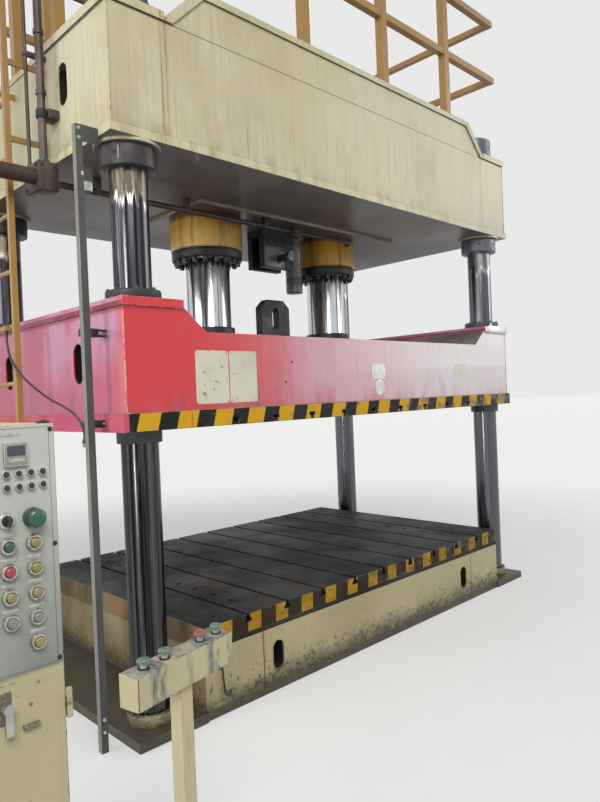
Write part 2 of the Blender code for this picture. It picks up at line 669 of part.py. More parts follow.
def make_bed():
    bm = bmesh.new()
    add_box(bm, (-BED_HALF_LENGTH, -BED_HALF_WIDTH, 0), (BED_HALF_LENGTH, BED_HALF_WIDTH, BED_HEIGHT))
    bed = as_object("bed", bm, CREAM)
    sills = bmesh.new()
    for side in (-1, 1):
        inner = side * (BED_HALF_LENGTH - BURY)
        outer = side * SILL_HALF_LENGTH
        add_box(sills, (min(inner, outer), -COLUMN_Y - COLUMN_R * 2, 0),
                (max(inner, outer), COLUMN_Y + COLUMN_R * 2, SILL_HEIGHT))
    weld(bed, sills, "sills")
    collars = bmesh.new()
    for _, x, y in column_places():
        add_rod(collars, BASE_COLLAR_R, SILL_HEIGHT - BURY, SILL_HEIGHT + BASE_COLLAR_HEIGHT,
                (x, y, 0), COLUMN_SIDES)
    weld(bed, collars, "collars")
    holes = bmesh.new()
    for _, x, y in column_places():
        add_rod(holes, COLUMN_R + ROUND_GAP, -BURY, SILL_HEIGHT + BASE_COLLAR_HEIGHT + BURY,
                (x, y, 0), COLUMN_SIDES)
    for x in (-BED_SLOT_X, BED_SLOT_X):
        outline = oval(x, BED_SLOT_Z, BED_SLOT_WIDTH, BED_SLOT_HEIGHT)
        for face in (-1, 1):
            inner = face * (BED_HALF_WIDTH - SLOT_DEPTH)
            outer = face * (BED_HALF_WIDTH + BURY)
            add_prism(holes, outline, min(inner, outer), max(inner, outer))
    cut(bed, holes, "holes")


def make_bolster():
    low = BED_HEIGHT + SEAT_GAP
    top = BOLSTER_TOP
    bm = bmesh.new()
    add_box(bm, (-BED_HALF_LENGTH, -BED_HALF_WIDTH, low), (BED_HALF_LENGTH, BED_HALF_WIDTH, top))
    bolster = as_object("bolster", bm, GREY_STEEL)
    slots = bmesh.new()
    add_tee_slots(slots, top, -1, BED_HALF_WIDTH)
    cut(bolster, slots, "tee_slots")
    holes = bmesh.new()
    for x in (-PIN_HOLE_X, PIN_HOLE_X):
        for y in PIN_HOLE_Y:
            for side in (-1, 1):
                add_rod(holes, PIN_HOLE_R, top - PIN_HOLE_DEPTH, top + BURY, (x, side * y, 0), PIPE_SIDES)
    cut(bolster, holes, "pin_holes")


def make_columns():
    foot = COLUMN_FOOT
    top = SHOULDER_TOP + UPPER_NUT_HEIGHT + COLUMN_THREAD_END
    for name, x, y in column_places():
        bm = bmesh.new()
        add_turned(bm, [(COLUMN_R - NUT_CHAMFER, foot), (COLUMN_R, foot + NUT_CHAMFER),
                        (COLUMN_R, top - NUT_CHAMFER), (COLUMN_R - NUT_CHAMFER, top)],
                   (0, 0, 0), COLUMN_SIDES)
        as_object(f"column_{name}", bm, OILY_CHROME, (x, y, 0), round_piece=True)


def add_nut(bm, radius, seat, free):
    """A round nut from its seat to its free face, chamfered there, bored to sit on a column."""
    bore = COLUMN_R + ROUND_GAP
    rim = free + math.copysign(NUT_CHAMFER, seat - free)
    add_turned(bm, [(bore, seat), (radius, seat), (radius, rim), (radius - NUT_CHAMFER, free),
                    (bore, free)], (0, 0, 0), COLUMN_SIDES, hollow=True)


def make_nuts():
    seat = CROWN_BOTTOM - BOSS_HEIGHT - SEAT_GAP
    for name, x, y in column_places():
        lower = bmesh.new()
        add_nut(lower, LOWER_NUT_R, seat, seat - LOWER_NUT_HEIGHT)
        as_object(f"lower_nut_{name}", lower, NUT_BLACK, (x, y, 0), round_piece=True)
        upper = bmesh.new()
        add_nut(upper, UPPER_NUT_R, SHOULDER_TOP + SEAT_GAP, SHOULDER_TOP + UPPER_NUT_HEIGHT)
        as_object(f"upper_nut_{name}", upper, NUT_BLACK, (x, y, 0), round_piece=True)


def crown_profile():
    """Half outlines of the crown's webs and of its bent top plate, in X and Z."""
    wall = CROWN_HALF_LENGTH - CROWN_OVERHANG
    shoulder = SHOULDER_TOP - SHOULDER_PLATE / 2
    middle = CROWN_TOP - CROWN_TOP_PLATE / 2
    web = [(wall, CROWN_BOTTOM + CROWN_BOTTOM_PLATE / 2), (wall, shoulder),
           (SHOULDER_INNER_X - SLANT_PLATE, shoulder),
           (CROWN_TOP_HALF_LENGTH - CROWN_TOP_PLATE / 2, middle)]
    foot = SHOULDER_TOP - SHOULDER_PLATE
    outer = [(SHOULDER_INNER_X, foot), (CROWN_TOP_HALF_LENGTH, CROWN_TOP)]
    inner = [(CROWN_TOP_HALF_LENGTH - CROWN_TOP_PLATE, CROWN_TOP - CROWN_TOP_PLATE),
             (SHOULDER_INNER_X - SLANT_PLATE, foot)]
    return web, outer, inner


def mirrored(outline):
    return outline + [(-a, b) for a, b in reversed(outline)]


def make_crown():
    web, outer, inner = crown_profile()
    face = CROWN_HALF_WIDTH - CROWN_OVERHANG
    wall = CROWN_HALF_LENGTH - CROWN_OVERHANG
    bm = bmesh.new()
    add_prism(bm, mirrored(web), -face, face)
    crown = as_object("crown", bm, CREAM)

    plates = bmesh.new()
    add_box(plates, (-CROWN_HALF_LENGTH, -CROWN_HALF_WIDTH, CROWN_BOTTOM),
            (CROWN_HALF_LENGTH, CROWN_HALF_WIDTH, CROWN_BOTTOM + CROWN_BOTTOM_PLATE))
    cap = outer + [(-a, b) for a, b in reversed(outer)]
    cap += [(-a, b) for a, b in reversed(inner)] + inner
    add_prism(plates, cap, -CROWN_HALF_WIDTH, CROWN_HALF_WIDTH)
    weld(crown, plates, "plates")

    ends = bmesh.new()
    for sx in (-1, 1):
        inside = sx * (SHOULDER_INNER_X - BURY)
        outside = sx * CROWN_HALF_LENGTH
        for sy in (-1, 1):
            near = sy * SHOULDER_GAP_HALF_WIDTH
            far = sy * CROWN_HALF_WIDTH
            add_box(ends, (min(inside, outside), min(near, far), SHOULDER_TOP - SHOULDER_PLATE),
                    (max(inside, outside), max(near, far), SHOULDER_TOP))
    weld(crown, ends, "shoulder_plates")

    ledges = bmesh.new()
    ledge_top = SHOULDER_TOP - LEDGE_DROP
    for sx in (-1, 1):
        inside = sx * (wall - LEDGE_WIDTH)
        outside = sx * wall
        add_box(ledges, (min(inside, outside), -SHOULDER_GAP_HALF_WIDTH - BURY, ledge_top - LEDGE_DEPTH),
                (max(inside, outside), SHOULDER_GAP_HALF_WIDTH + BURY, ledge_top))
    weld(crown, ledges, "ledges")

    pads = bmesh.new()
    for _, x, y in column_places():
        add_rod(pads, BOSS_R, CROWN_BOTTOM - BOSS_HEIGHT, CROWN_BOTTOM + BURY, (x, y, 0), COLUMN_SIDES)
    add_box(pads, (SEAT_PLATE_LEFT, -SEAT_PLATE_HALF_WIDTH, CROWN_BOTTOM - SEAT_PLATE_THICKNESS),
            (SEAT_PLATE_RIGHT, SEAT_PLATE_HALF_WIDTH, CROWN_BOTTOM + BURY))
    weld(crown, pads, "pads")

    holes = bmesh.new()
    for _, x, y in column_places():
        add_rod(holes, COLUMN_R + ROUND_GAP, CROWN_BOTTOM - BOSS_HEIGHT - BURY, SHOULDER_TOP + BURY,
                (x, y, 0), COLUMN_SIDES)
    for x in (-CYLINDER_X, CYLINDER_X):
        add_rod(holes, CYLINDER_NECK_R + ROUND_GAP, CROWN_BOTTOM - SEAT_PLATE_THICKNESS - BURY,
                CYLINDER_TOP + SEAT_GAP, (x, 0, 0), CYLINDER_SIDES)
    for sx in (-1, 1):
        inside = sx * (wall - SLOT_DEPTH)
        outside = sx * (wall + BURY)
        for y in (-CROWN_SLOT_Y, CROWN_SLOT_Y):
            outline = oval(y, CROWN_SLOT_Z, CROWN_SLOT_WIDTH, CROWN_SLOT_HEIGHT)
            add_prism(holes, outline, min(inside, outside), max(inside, outside), "x")
    cut(crown, holes, "holes")


def make_cylinders():
    """Each main cylinder with its gland ring, and the plunger that the slide hangs on."""
    seat = CROWN_BOTTOM - SEAT_PLATE_THICKNESS - SEAT_GAP
    bore_top = CYLINDER_TOP - CYLINDER_TOP_WALL
    for side, x in (("left", -CYLINDER_X), ("right", CYLINDER_X)):
        barrel = bmesh.new()
        add_turned(barrel, [(CYLINDER_BORE_R, bore_top), (CYLINDER_BORE_R, BARREL_BOTTOM),
                            (BARREL_R, BARREL_BOTTOM), (BARREL_R, seat), (CYLINDER_NECK_R, seat),
                            (CYLINDER_NECK_R, CYLINDER_TOP)], (0, 0, 0), CYLINDER_SIDES)
        as_object(f"cylinder_{side}", barrel, OCHRE, (x, 0, 0), round_piece=True)

        gland = bmesh.new()
        top = BARREL_BOTTOM - SEAT_GAP
        bore = PLUNGER_R + ROUND_GAP
        add_turned(gland, [(bore, top - GLAND_HEIGHT), (GLAND_R - NUT_CHAMFER, top - GLAND_HEIGHT),
                           (GLAND_R, top - GLAND_HEIGHT + NUT_CHAMFER), (GLAND_R, top), (bore, top)],
                   (0, 0, 0), CYLINDER_SIDES, hollow=True)
        as_object(f"gland_{side}", gland, NUT_BLACK, (x, 0, 0), round_piece=True)

        foot = SLIDE_MIDDLE_TOP + SEAT_GAP
        plunger = bmesh.new()
        add_turned(plunger, [(PLUNGER_COLLAR_R, foot), (PLUNGER_COLLAR_R, foot + PLUNGER_COLLAR_HEIGHT),
                             (PLUNGER_R, foot + PLUNGER_COLLAR_HEIGHT),
                             (PLUNGER_R, PLUNGER_TOP - NUT_CHAMFER),
                             (PLUNGER_R - NUT_CHAMFER, PLUNGER_TOP)], (0, 0, 0), CYLINDER_SIDES)
        as_object(f"plunger_{side}", plunger, CHROME, (x, 0, 0), round_piece=True)


def make_slide():
    body_low = SLIDE_BOTTOM + SLIDE_PLATE_THICKNESS + SEAT_GAP
    wall = SLIDE_HALF_LENGTH - SLIDE_OVERHANG
    face = SLIDE_HALF_WIDTH - SLIDE_OVERHANG
    under = SLIDE_TOP - SLIDE_FLANGE / 2
    inset = SLIDE_FLANGE / 4
    outline = [(wall, body_low), (wall, under), (SLIDE_FLANGE_INNER_X + inset, under),
               (SLIDE_MIDDLE_HALF_LENGTH, SLIDE_MIDDLE_TOP)]
    bm = bmesh.new()
    add_prism(bm, mirrored(outline), -face, face)
    slide = as_object("slide", bm, RED)

    plates = bmesh.new()
    for sx in (-1, 1):
        inside = sx * SLIDE_FLANGE_INNER_X
        outside = sx * SLIDE_HALF_LENGTH
        add_box(plates, (min(inside, outside), -SLIDE_HALF_WIDTH, SLIDE_TOP - SLIDE_FLANGE),
                (max(inside, outside), SLIDE_HALF_WIDTH, SLIDE_TOP))
    weld(slide, plates, "plates")

    holes = bmesh.new()
    for _, x, y in column_places():
        add_rod(holes, BUSH_R + ROUND_GAP, SLIDE_BOTTOM, SLIDE_TOP + BURY, (x, y, 0), COLUMN_SIDES)
    for sx in (-1, 1):
        inside = sx * (wall - SLOT_DEPTH)
        outside = sx * (wall + BURY)
        for y in (-SLIDE_SLOT_Y, SLIDE_SLOT_Y):
            slot = oval(y, SLIDE_SLOT_Z, SLIDE_SLOT_WIDTH, SLIDE_SLOT_HEIGHT)
            add_prism(holes, slot, min(inside, outside), max(inside, outside), "x")
    cut(slide, holes, "holes")

    top = SLIDE_BOTTOM + SLIDE_PLATE_THICKNESS
    bm = bmesh.new()
    add_box(bm, (-SLIDE_PLATE_HALF_LENGTH, -SLIDE_HALF_WIDTH, SLIDE_BOTTOM),
            (SLIDE_PLATE_HALF_LENGTH, SLIDE_HALF_WIDTH, top))
    plate = as_object("slide_plate", bm, GREY_STEEL)
    cuts = bmesh.new()
    add_tee_slots(cuts, SLIDE_BOTTOM, 1, SLIDE_HALF_WIDTH)
    for _, x, y in column_places():
        add_rod(cuts, BUSH_R + ROUND_GAP, SLIDE_BOTTOM - BURY, top + BURY, (x, y, 0), COLUMN_SIDES)
    cut(plate, cuts, "slots_and_bores")


def make_bushes():
    """Flanged guide bushes in the slide's four corners."""
    low = SLIDE_BOTTOM - BUSH_TAIL
    seat = SLIDE_TOP + SEAT_GAP
    top = seat + BUSH_FLANGE_HEIGHT
    bore = COLUMN_R + ROUND_GAP
    for name, x, y in column_places():
        bm = bmesh.new()
        add_turned(bm, [(bore, low), (BUSH_R, low), (BUSH_R, seat), (BUSH_FLANGE_R, seat),
                        (BUSH_FLANGE_R, top), (bore, top)], (0, 0, 0), COLUMN_SIDES, hollow=True)
        as_object(f"guide_bush_{name}", bm, NUT_BLACK, (x, y, 0), round_piece=True)


def make_lock():
    """Slotted lug on the slide, fork under the crown, its pin, and the small ram beside it."""
    base = SLIDE_MIDDLE_TOP + SEAT_GAP
    half = LUG_THICKNESS / 2
    lug = bmesh.new()
    outline = [(LUG_HALF_WIDTH, base), (LUG_HALF_WIDTH, LUG_TOP - LUG_CHAMFER),
               (LUG_HALF_WIDTH - LUG_CHAMFER, LUG_TOP)]
    add_prism(lug, mirrored(outline), -half, half)
    lug_object = as_object("lock_lug", lug, NUT_BLACK)
    foot = bmesh.new()
    add_box(foot, (-LUG_BASE_HALF_LENGTH, -LUG_BASE_HALF_WIDTH, base),
            (LUG_BASE_HALF_LENGTH, LUG_BASE_HALF_WIDTH, base + LUG_BASE_HEIGHT))
    weld(lug_object, foot, "foot")
    slot = bmesh.new()
    middle = (LUG_SLOT_BOTTOM + LUG_SLOT_TOP) / 2
    add_prism(slot, oval(0, middle, LUG_SLOT_WIDTH, LUG_SLOT_TOP - LUG_SLOT_BOTTOM),
              -half - BURY, half + BURY)
    cut(lug_object, slot, "slot")

    top = CROWN_BOTTOM - SEAT_PLATE_THICKNESS - SEAT_GAP
    inner = half + BRACKET_CLEARANCE
    outer = inner + BRACKET_CHEEK
    fork = [(-outer, BRACKET_BOTTOM), (-outer, top), (outer, top), (outer, BRACKET_BOTTOM),
            (inner, BRACKET_BOTTOM), (inner, top - BRACKET_CHEEK), (-inner, top - BRACKET_CHEEK),
            (-inner, BRACKET_BOTTOM)]
    bracket = bmesh.new()
    add_prism(bracket, fork, -BRACKET_HALF_WIDTH, BRACKET_HALF_WIDTH, "x")
    bracket_object = as_object("lock_bracket", bracket, NUT_BLACK)
    hole = bmesh.new()
    add_rod(hole, LOCK_PIN_R + ROUND_GAP, -outer - BURY, outer + BURY, (0, 0, LOCK_PIN_Z),
            SMALL_SIDES, "-y")
    cut(bracket_object, hole, "pin_hole")

    pin = bmesh.new()
    head = outer + LOCK_PIN_TRAVEL + SEAT_GAP
    add_turned(pin, [(LOCK_PIN_R, inner + BURY), (LOCK_PIN_R, head), (LOCK_PIN_HEAD_R, head),
                     (LOCK_PIN_HEAD_R, head + LOCK_PIN_HEAD)], (0, 0, 0), SMALL_SIDES, "-y")
    as_object("lock_pin", pin, CHROME, (0, 0, LOCK_PIN_Z), round_piece=True)

    ram = bmesh.new()
    add_turned(ram, [(RAM_FLANGE_R, RAM_BOTTOM), (RAM_FLANGE_R, RAM_BOTTOM + RAM_FLANGE),
                     (RAM_R, RAM_BOTTOM + RAM_FLANGE), (RAM_R, top)], (0, 0, 0), SMALL_SIDES)
    as_object("lock_ram", ram, PANEL_GREY, (RAM_X, 0, 0), round_piece=True)


def make_limit_rail():
    """Angle bar that carries the limit switches, hung on the crown's left end."""
    back = RAIL_X + RAIL_SIDE
    bm = bmesh.new()
    outline = [(RAIL_X, RAIL_FRONT_Y), (back, RAIL_FRONT_Y), (back, RAIL_FRONT_Y + RAIL_WALL),
               (RAIL_X + RAIL_WALL, RAIL_FRONT_Y + RAIL_WALL),
               (RAIL_X + RAIL_WALL, RAIL_FRONT_Y + RAIL_FACE), (RAIL_X, RAIL_FRONT_Y + RAIL_FACE)]
    add_prism(bm, outline, 0, RAIL_TOP, "z")
    rail = as_object("limit_rail", bm, RAIL_GREEN)
    hanger = bmesh.new()
    end = -CROWN_HALF_LENGTH - SEAT_GAP
    add_box(hanger, (back - BURY, RAIL_FRONT_Y, RAIL_HANGER_BOTTOM),
            (end, RAIL_FRONT_Y + RAIL_WALL, RAIL_TOP))
    weld(rail, hanger, "web")
    pad = bmesh.new()
    add_box(pad, (end - RAIL_WALL, RAIL_FRONT_Y + RAIL_WALL / 2, CROWN_BOTTOM - RAIL_FACE / 2),
            (end, RAIL_FRONT_Y + RAIL_FACE, RAIL_TOP - BURY))
    weld(rail, pad, "pad")
    boss = bmesh.new()
    seat = (RAIL_X + RAIL_WALL / 2, RAIL_FRONT_Y + RAIL_FACE + GLAND_OFFSET, CABLE_ROUTE[-1][2])
    add_rod(boss, GLAND_BOSS_R, -GLAND_BOSS_LENGTH, -CABLE_GAP, seat, PIPE_SIDES)
    weld(rail, boss, "cable_gland")
    switch = bmesh.new()
    add_box(switch, (back - BURY, RAIL_FRONT_Y + RAIL_WALL / 2, SWITCH_BOTTOM),
            (back + SWITCH_WIDTH, RAIL_FRONT_Y + SWITCH_DEPTH, SWITCH_BOTTOM + SWITCH_HEIGHT))
    weld(rail, switch, "switch")


def make_arms():
    """Forked arms welded to the slide's left end, which trip the switches on the rail."""
    tip = RAIL_X + ARM_REACH
    gap = ARM_GAP / 2
    ends = (("upper_arm", UPPER_ARM_Z, -SLIDE_HALF_LENGTH + SLIDE_OVERHANG),
            ("lower_arm", SLIDE_BOTTOM + SLIDE_PLATE_THICKNESS / 2, -SLIDE_PLATE_HALF_LENGTH))
    for name, z, end in ends:
        wall = end - SEAT_GAP
        upper = [(wall, z + gap + ARM_PRONG), (tip, z + gap + ARM_PRONG)]
        lower = [(tip, z - gap - ARM_PRONG), (wall, z - gap - ARM_PRONG)]
        slot = [(wall, z - gap), (tip + ARM_HEAD, z - gap), (tip + ARM_HEAD, z + gap), (wall, z + gap)]
        bm = bmesh.new()
        add_prism(bm, upper + lower + slot, ARM_FRONT_Y, ARM_FRONT_Y + ARM_WIDTH)
        as_object(name, bm, NUT_BLACK)


def make_ladder():
    half = STILE / 2
    rear_y = LADDER_FRONT_Y + LADDER_WIDTH
    bm = bmesh.new()
    add_box(bm, (LADDER_X - half, LADDER_FRONT_Y - half, 0),
            (LADDER_X + half, LADDER_FRONT_Y + half, GUARD_TOP))
    ladder = as_object("ladder", bm, LADDER_YELLOW)
    rungs = bmesh.new()
    for i in range(1, RUNG_COUNT + 1):
        add_rod(rungs, RUNG_R, -rear_y, -LADDER_FRONT_Y, (LADDER_X, 0, RUNG_PITCH * i), 8, "-y")
    weld(ladder, rungs, "rungs")
    far = bmesh.new()
    add_box(far, (LADDER_X - half, rear_y - half, 0), (LADDER_X + half, rear_y + half, GUARD_TOP))
    weld(ladder, far, "rear_stile")
    stays = bmesh.new()
    wall = -CROWN_HALF_LENGTH + CROWN_OVERHANG - SEAT_GAP
    for y in (LADDER_FRONT_Y, rear_y):
        for z in STAY_HEIGHTS:
            add_box(stays, (LADDER_X, y - half / 2, z), (wall, y + half / 2, z + STAY_HEIGHT))
    weld(ladder, stays, "stays")
    clip = bmesh.new()
    first = CABLE_ROUTE[0]
    add_box(clip, (LADDER_X - CLIP_REACH, first[1] - CLIP_SIZE / 2, first[2] + CABLE_GAP),
            (LADDER_X, first[1] + CLIP_SIZE / 2, first[2] + CLIP_SIZE))
    weld(ladder, clip, "cable_clip")


def make_guard_rail():
    """Square tube rail round the crown's top, open at the left end where the ladder lands."""
    tube = RAIL_TUBE / 2
    post = POST_TUBE / 2
    bm = bmesh.new()
    add_box(bm, (-GUARD_X - tube, -GUARD_Y - tube, GUARD_TOP - RAIL_TUBE),
            (GUARD_X + tube, -GUARD_Y + tube, GUARD_TOP))
    guard = as_object("guard_rail", bm, LADDER_YELLOW)
    heights = (GUARD_TOP - RAIL_TUBE, GUARD_MIDDLE - RAIL_TUBE)

    posts = bmesh.new()
    for sy in (-1, 1):
        for i in range(POSTS_PER_SIDE):
            x = POST_FIRST_X + POST_PITCH * i
            add_box(posts, (x - post, sy * GUARD_Y - post, CROWN_TOP + SEAT_GAP),
                    (x + post, sy * GUARD_Y + post, GUARD_TOP - BURY))
    gate = (LADDER_FRONT_Y - GATE_MARGIN, LADDER_FRONT_Y + LADDER_WIDTH + GATE_MARGIN)
    for y, foot in zip(gate, (SHOULDER_TOP, SHOULDER_TOP - LEDGE_DROP)):
        add_box(posts, (-GUARD_X - post, y - post, foot + SEAT_GAP),
                (-GUARD_X + post, y + post, GUARD_TOP - BURY))
    sides = bmesh.new()
    for z in heights:
        top = z + RAIL_TUBE
        lift = BURY / 2
        add_box(sides, (GUARD_X - tube, -GUARD_Y - tube + lift, z + lift),
                (GUARD_X + tube - lift, GUARD_Y + tube - lift, top - lift))
        add_box(sides, (-GUARD_X - tube + lift, -GUARD_Y - tube + lift, z + lift),
                (-GUARD_X + tube, gate[0], top - lift))
        add_box(sides, (-GUARD_X - tube + lift, gate[1], z + lift),
                (-GUARD_X + tube, GUARD_Y + tube - lift, top - lift))
    weld(guard, sides, "end_rails")
    rear = bmesh.new()
    for z in heights:
        add_box(rear, (-GUARD_X - tube, GUARD_Y - tube, z), (GUARD_X + tube, GUARD_Y + tube, z + RAIL_TUBE))
    add_box(rear, (-GUARD_X - tube, -GUARD_Y - tube, heights[1]),
            (GUARD_X + tube, -GUARD_Y + tube, heights[1] + RAIL_TUBE))
    weld(guard, rear, "long_rails")
    weld(guard, posts, "posts")


def make_pipes():
    """Pipework on the left end of the crown, and the pipe that crosses under it."""
    half_length = MANIFOLD_LENGTH / 2
    wall = -CROWN_HALF_LENGTH + CROWN_OVERHANG - SEAT_GAP

    supply = bmesh.new()
    corners = [(SUPPLY_X, SUPPLY_Y, MANIFOLD_TOP + SEAT_GAP), (SUPPLY_X, SUPPLY_Y, SUPPLY_TOP),
               (SUPPLY_LAND_X, SUPPLY_Y, SUPPLY_TOP),
               (SUPPLY_LAND_X, SUPPLY_Y, CROWN_TOP + SEAT_GAP)]
    add_pipe(supply, bend_points(corners, SUPPLY_BEND_R), SUPPLY_R, PIPE_SIDES)
    supply_object = as_object("supply_pipe", supply, PIPE_BROWN, round_piece=True)
    clamp = bmesh.new()
    reach = SUPPLY_R + BURY
    add_box(clamp, (SUPPLY_X - reach, SUPPLY_Y - reach, CLAMP_Z),
            (wall, SUPPLY_Y + reach, CLAMP_Z + CLAMP_HEIGHT))
    weld(supply_object, clamp, "clamp")

    block = bmesh.new()
    add_box(block, (SUPPLY_X - half_length, MANIFOLD_FRONT_Y, MANIFOLD_TOP - MANIFOLD_HEIGHT),
            (SUPPLY_X + half_length, MANIFOLD_FRONT_Y + MANIFOLD_WIDTH, MANIFOLD_TOP))
    manifold = as_object("manifold", block, PIPE_BROWN)
    suction = bmesh.new()
    neck = SUCTION_END_X + SUCTION_FLANGE
    add_turned(suction, [(SUCTION_R, SUPPLY_X - half_length + BURY), (SUCTION_R, neck),
                         (SUCTION_FLANGE_R, neck), (SUCTION_FLANGE_R, SUCTION_END_X)],
               (0, SUPPLY_Y, MANIFOLD_TOP - MANIFOLD_HEIGHT / 2), SMALL_SIDES, "x")
    weld(manifold, suction, "suction")
    pilot = bmesh.new()
    corners = [(PILOT_X, PILOT_Y, MANIFOLD_TOP - BURY), (PILOT_X, PILOT_Y, PILOT_TOP),
               (PILOT_LAND_X, PILOT_Y, PILOT_TOP), (PILOT_LAND_X, PILOT_Y, CROWN_TOP + SEAT_GAP)]
    add_pipe(pilot, bend_points(corners, PILOT_R * 4), PILOT_R, PIPE_SIDES)
    weld(manifold, pilot, "pilot_pipe")
    clip = bmesh.new()
    reach = PILOT_R + BURY
    add_box(clip, (PILOT_X - reach, PILOT_Y - reach, PILOT_CLAMP_Z),
            (wall, PILOT_Y + reach, PILOT_CLAMP_Z + PILOT_CLAMP_HEIGHT))
    weld(manifold, clip, "pilot_clamp")

    cross = bmesh.new()
    start = SUPPLY_X + half_length + SEAT_GAP
    add_rod(cross, CROSS_R, start, CROSS_END_X, (0, CROSS_Y, CROSS_Z), PIPE_SIDES, "x")
    cross_object = as_object("cross_pipe", cross, PIPE_BROWN, round_piece=True)
    fittings = bmesh.new()
    half = TEE_BLOCK / 2
    add_box(fittings, (CROSS_END_X - BURY, CROSS_Y - half, CROSS_Z - half),
            (CROSS_END_X + TEE_BLOCK, CROSS_Y + half, CROSS_Z + half))
    for x in HANGER_X:
        under = CROWN_BOTTOM if x < SEAT_PLATE_LEFT else CROWN_BOTTOM - SEAT_PLATE_THICKNESS
        add_box(fittings, (x - half / 2, CROSS_Y - CROSS_R - BURY, CROSS_Z - CROSS_R - BURY),
                (x + half / 2, CROSS_Y + CROSS_R + BURY, under - SEAT_GAP))
    weld(cross_object, fittings, "clamps")
    jumper = bmesh.new()
    corners = [(CROSS_END_X + TEE_BLOCK - BURY, CROSS_Y, CROSS_Z), (CYLINDER_X, CROSS_Y, CROSS_Z),
               (CYLINDER_X, -BARREL_R - SEAT_GAP, CROSS_Z)]
    add_pipe(jumper, bend_points(corners, JUMPER_R * 3), JUMPER_R, PIPE_SIDES)
    weld(cross_object, jumper, "jumper")


def make_cabinet():
    left, right = CABINET_LEFT, CABINET_RIGHT
    front, back = CABINET_FRONT, CABINET_BACK
    wall = CABINET_WALL
    bm = bmesh.new()
    add_box(bm, (left, front, 0), (right, back, CABINET_HEIGHT))
    cabinet = as_object("cabinet", bm, CREAM)
    bays = ((CABINET_PLINTH, SHELF_Z - wall / 2), (SHELF_Z + wall / 2, CABINET_HEIGHT - wall))
    hollow = bmesh.new()
    for low, high in bays:
        add_box(hollow, (left + wall, front + wall, low), (right - wall, back - wall, high))
    cut(cabinet, hollow, "inside")
    mouths = bmesh.new()
    for low, high in bays:
        add_box(mouths, (left + CABINET_FRAME, front - BURY, low + CABINET_FRAME),
                (right - CABINET_FRAME, front + wall + BURY, high - CABINET_FRAME))
    cut(cabinet, mouths, "mouths")
    gear = bmesh.new()
    inner = back - wall
    plate = (left + CABINET_FRAME, right - CABINET_FRAME)
    add_box(gear, (plate[0], inner - GEAR_PLATE, GEAR_ROWS[0] - GEAR_HEIGHT),
            (plate[1], inner + wall / 2, GEAR_ROWS[-1] + GEAR_HEIGHT * 2))
    weld(cabinet, gear, "gear_plate")
    blocks = bmesh.new()
    for z in GEAR_ROWS:
        for i in range(GEAR_PER_ROW):
            x = plate[0] + GEAR_PITCH * (i + 0.5)
            add_box(blocks, (x - GEAR_WIDTH / 2, inner - GEAR_PLATE - GEAR_DEPTH, z),
                    (x + GEAR_WIDTH / 2, inner - GEAR_PLATE / 2, z + GEAR_HEIGHT))
    weld(cabinet, blocks, "gear")
    leaves = bmesh.new()
    axis_y = front - DOOR_THICKNESS
    for z in HINGE_HEIGHTS:
        add_box(leaves, (right - BURY, axis_y, z), (right + BURY, axis_y + LEAF_DEPTH, z + HINGE_KNUCKLE))
    weld(cabinet, leaves, "hinge_leaves")
    knuckles = bmesh.new()
    for z in HINGE_HEIGHTS:
        add_rod(knuckles, HINGE_R, z + BURY / 2, z + HINGE_KNUCKLE, (right, axis_y, 0), PIPE_SIDES)
    weld(cabinet, knuckles, "knuckles")

    panel = bmesh.new()
    panel_back = front - SEAT_GAP
    panel_front = panel_back - PANEL_THICKNESS
    add_box(panel, (left + wall, panel_front, PANEL_BOTTOM), (right - wall / 2, panel_back, PANEL_TOP))
    panel_object = as_object("control_panel", panel, PANEL_GREY)
    raised = bmesh.new()
    for x, z in button_places():
        add_rod(raised, BEZEL_R, -panel_front - PANEL_THICKNESS / 2, -panel_front + BEZEL_HEIGHT,
                (x, 0, z), SMALL_SIDES, "-y")
    for row in LAMP_ROWS:
        for i in range(LAMPS_PER_ROW):
            add_rod(raised, LAMP_R, -panel_front - PANEL_THICKNESS / 2, -panel_front + LAMP_HEIGHT,
                    (LAMP_LEFT + LAMP_PITCH * i, 0, row), PIPE_SIDES, "-y")
    half = METER_SIZE / 2
    add_box(raised, (METER_CENTRE_X - half, panel_front - METER_HEIGHT, METER_CENTRE_Z - half),
            (METER_CENTRE_X + half, panel_front + PANEL_THICKNESS / 2, METER_CENTRE_Z + half))
    weld(panel_object, raised, "raised")
    bores = bmesh.new()
    for x, z in button_places():
        add_rod(bores, BUTTON_R + TURNING_GAP, -panel_back - BURY, -panel_front + BEZEL_HEIGHT + BURY,
                (x, 0, z), SMALL_SIDES, "-y")
    wide, tall = METER_WINDOW
    window_z = METER_CENTRE_Z + METER_SIZE / 4
    add_box(bores, (METER_CENTRE_X - wide / 2, panel_front - METER_HEIGHT - BURY, window_z - tall / 2),
            (METER_CENTRE_X + wide / 2, panel_front - METER_HEIGHT + METER_RIM, window_z + tall / 2))
    cut(panel_object, bores, "bores")


def button_places():
    """The stop button and selector in the top row, then the push buttons, right column first."""
    places = [(COLUMN_OF_BUTTONS_RIGHT, BUTTON_TOP_ROW), (COLUMN_OF_BUTTONS_LEFT, BUTTON_TOP_ROW)]
    for x, count in ((COLUMN_OF_BUTTONS_RIGHT, RIGHT_BUTTONS), (COLUMN_OF_BUTTONS_LEFT, LEFT_BUTTONS)):
        for row in range(1, count + 1):
            places.append((x, BUTTON_TOP_ROW - BUTTON_PITCH * row))
    return places


def button_shank():
    """The part of every panel button that runs through the panel, from its collar forwards."""
    seat = -PANEL_THICKNESS - SEAT_GAP
    return [(BUTTON_COLLAR_R, seat - BUTTON_COLLAR), (BUTTON_COLLAR_R, seat), (BUTTON_R, seat)]


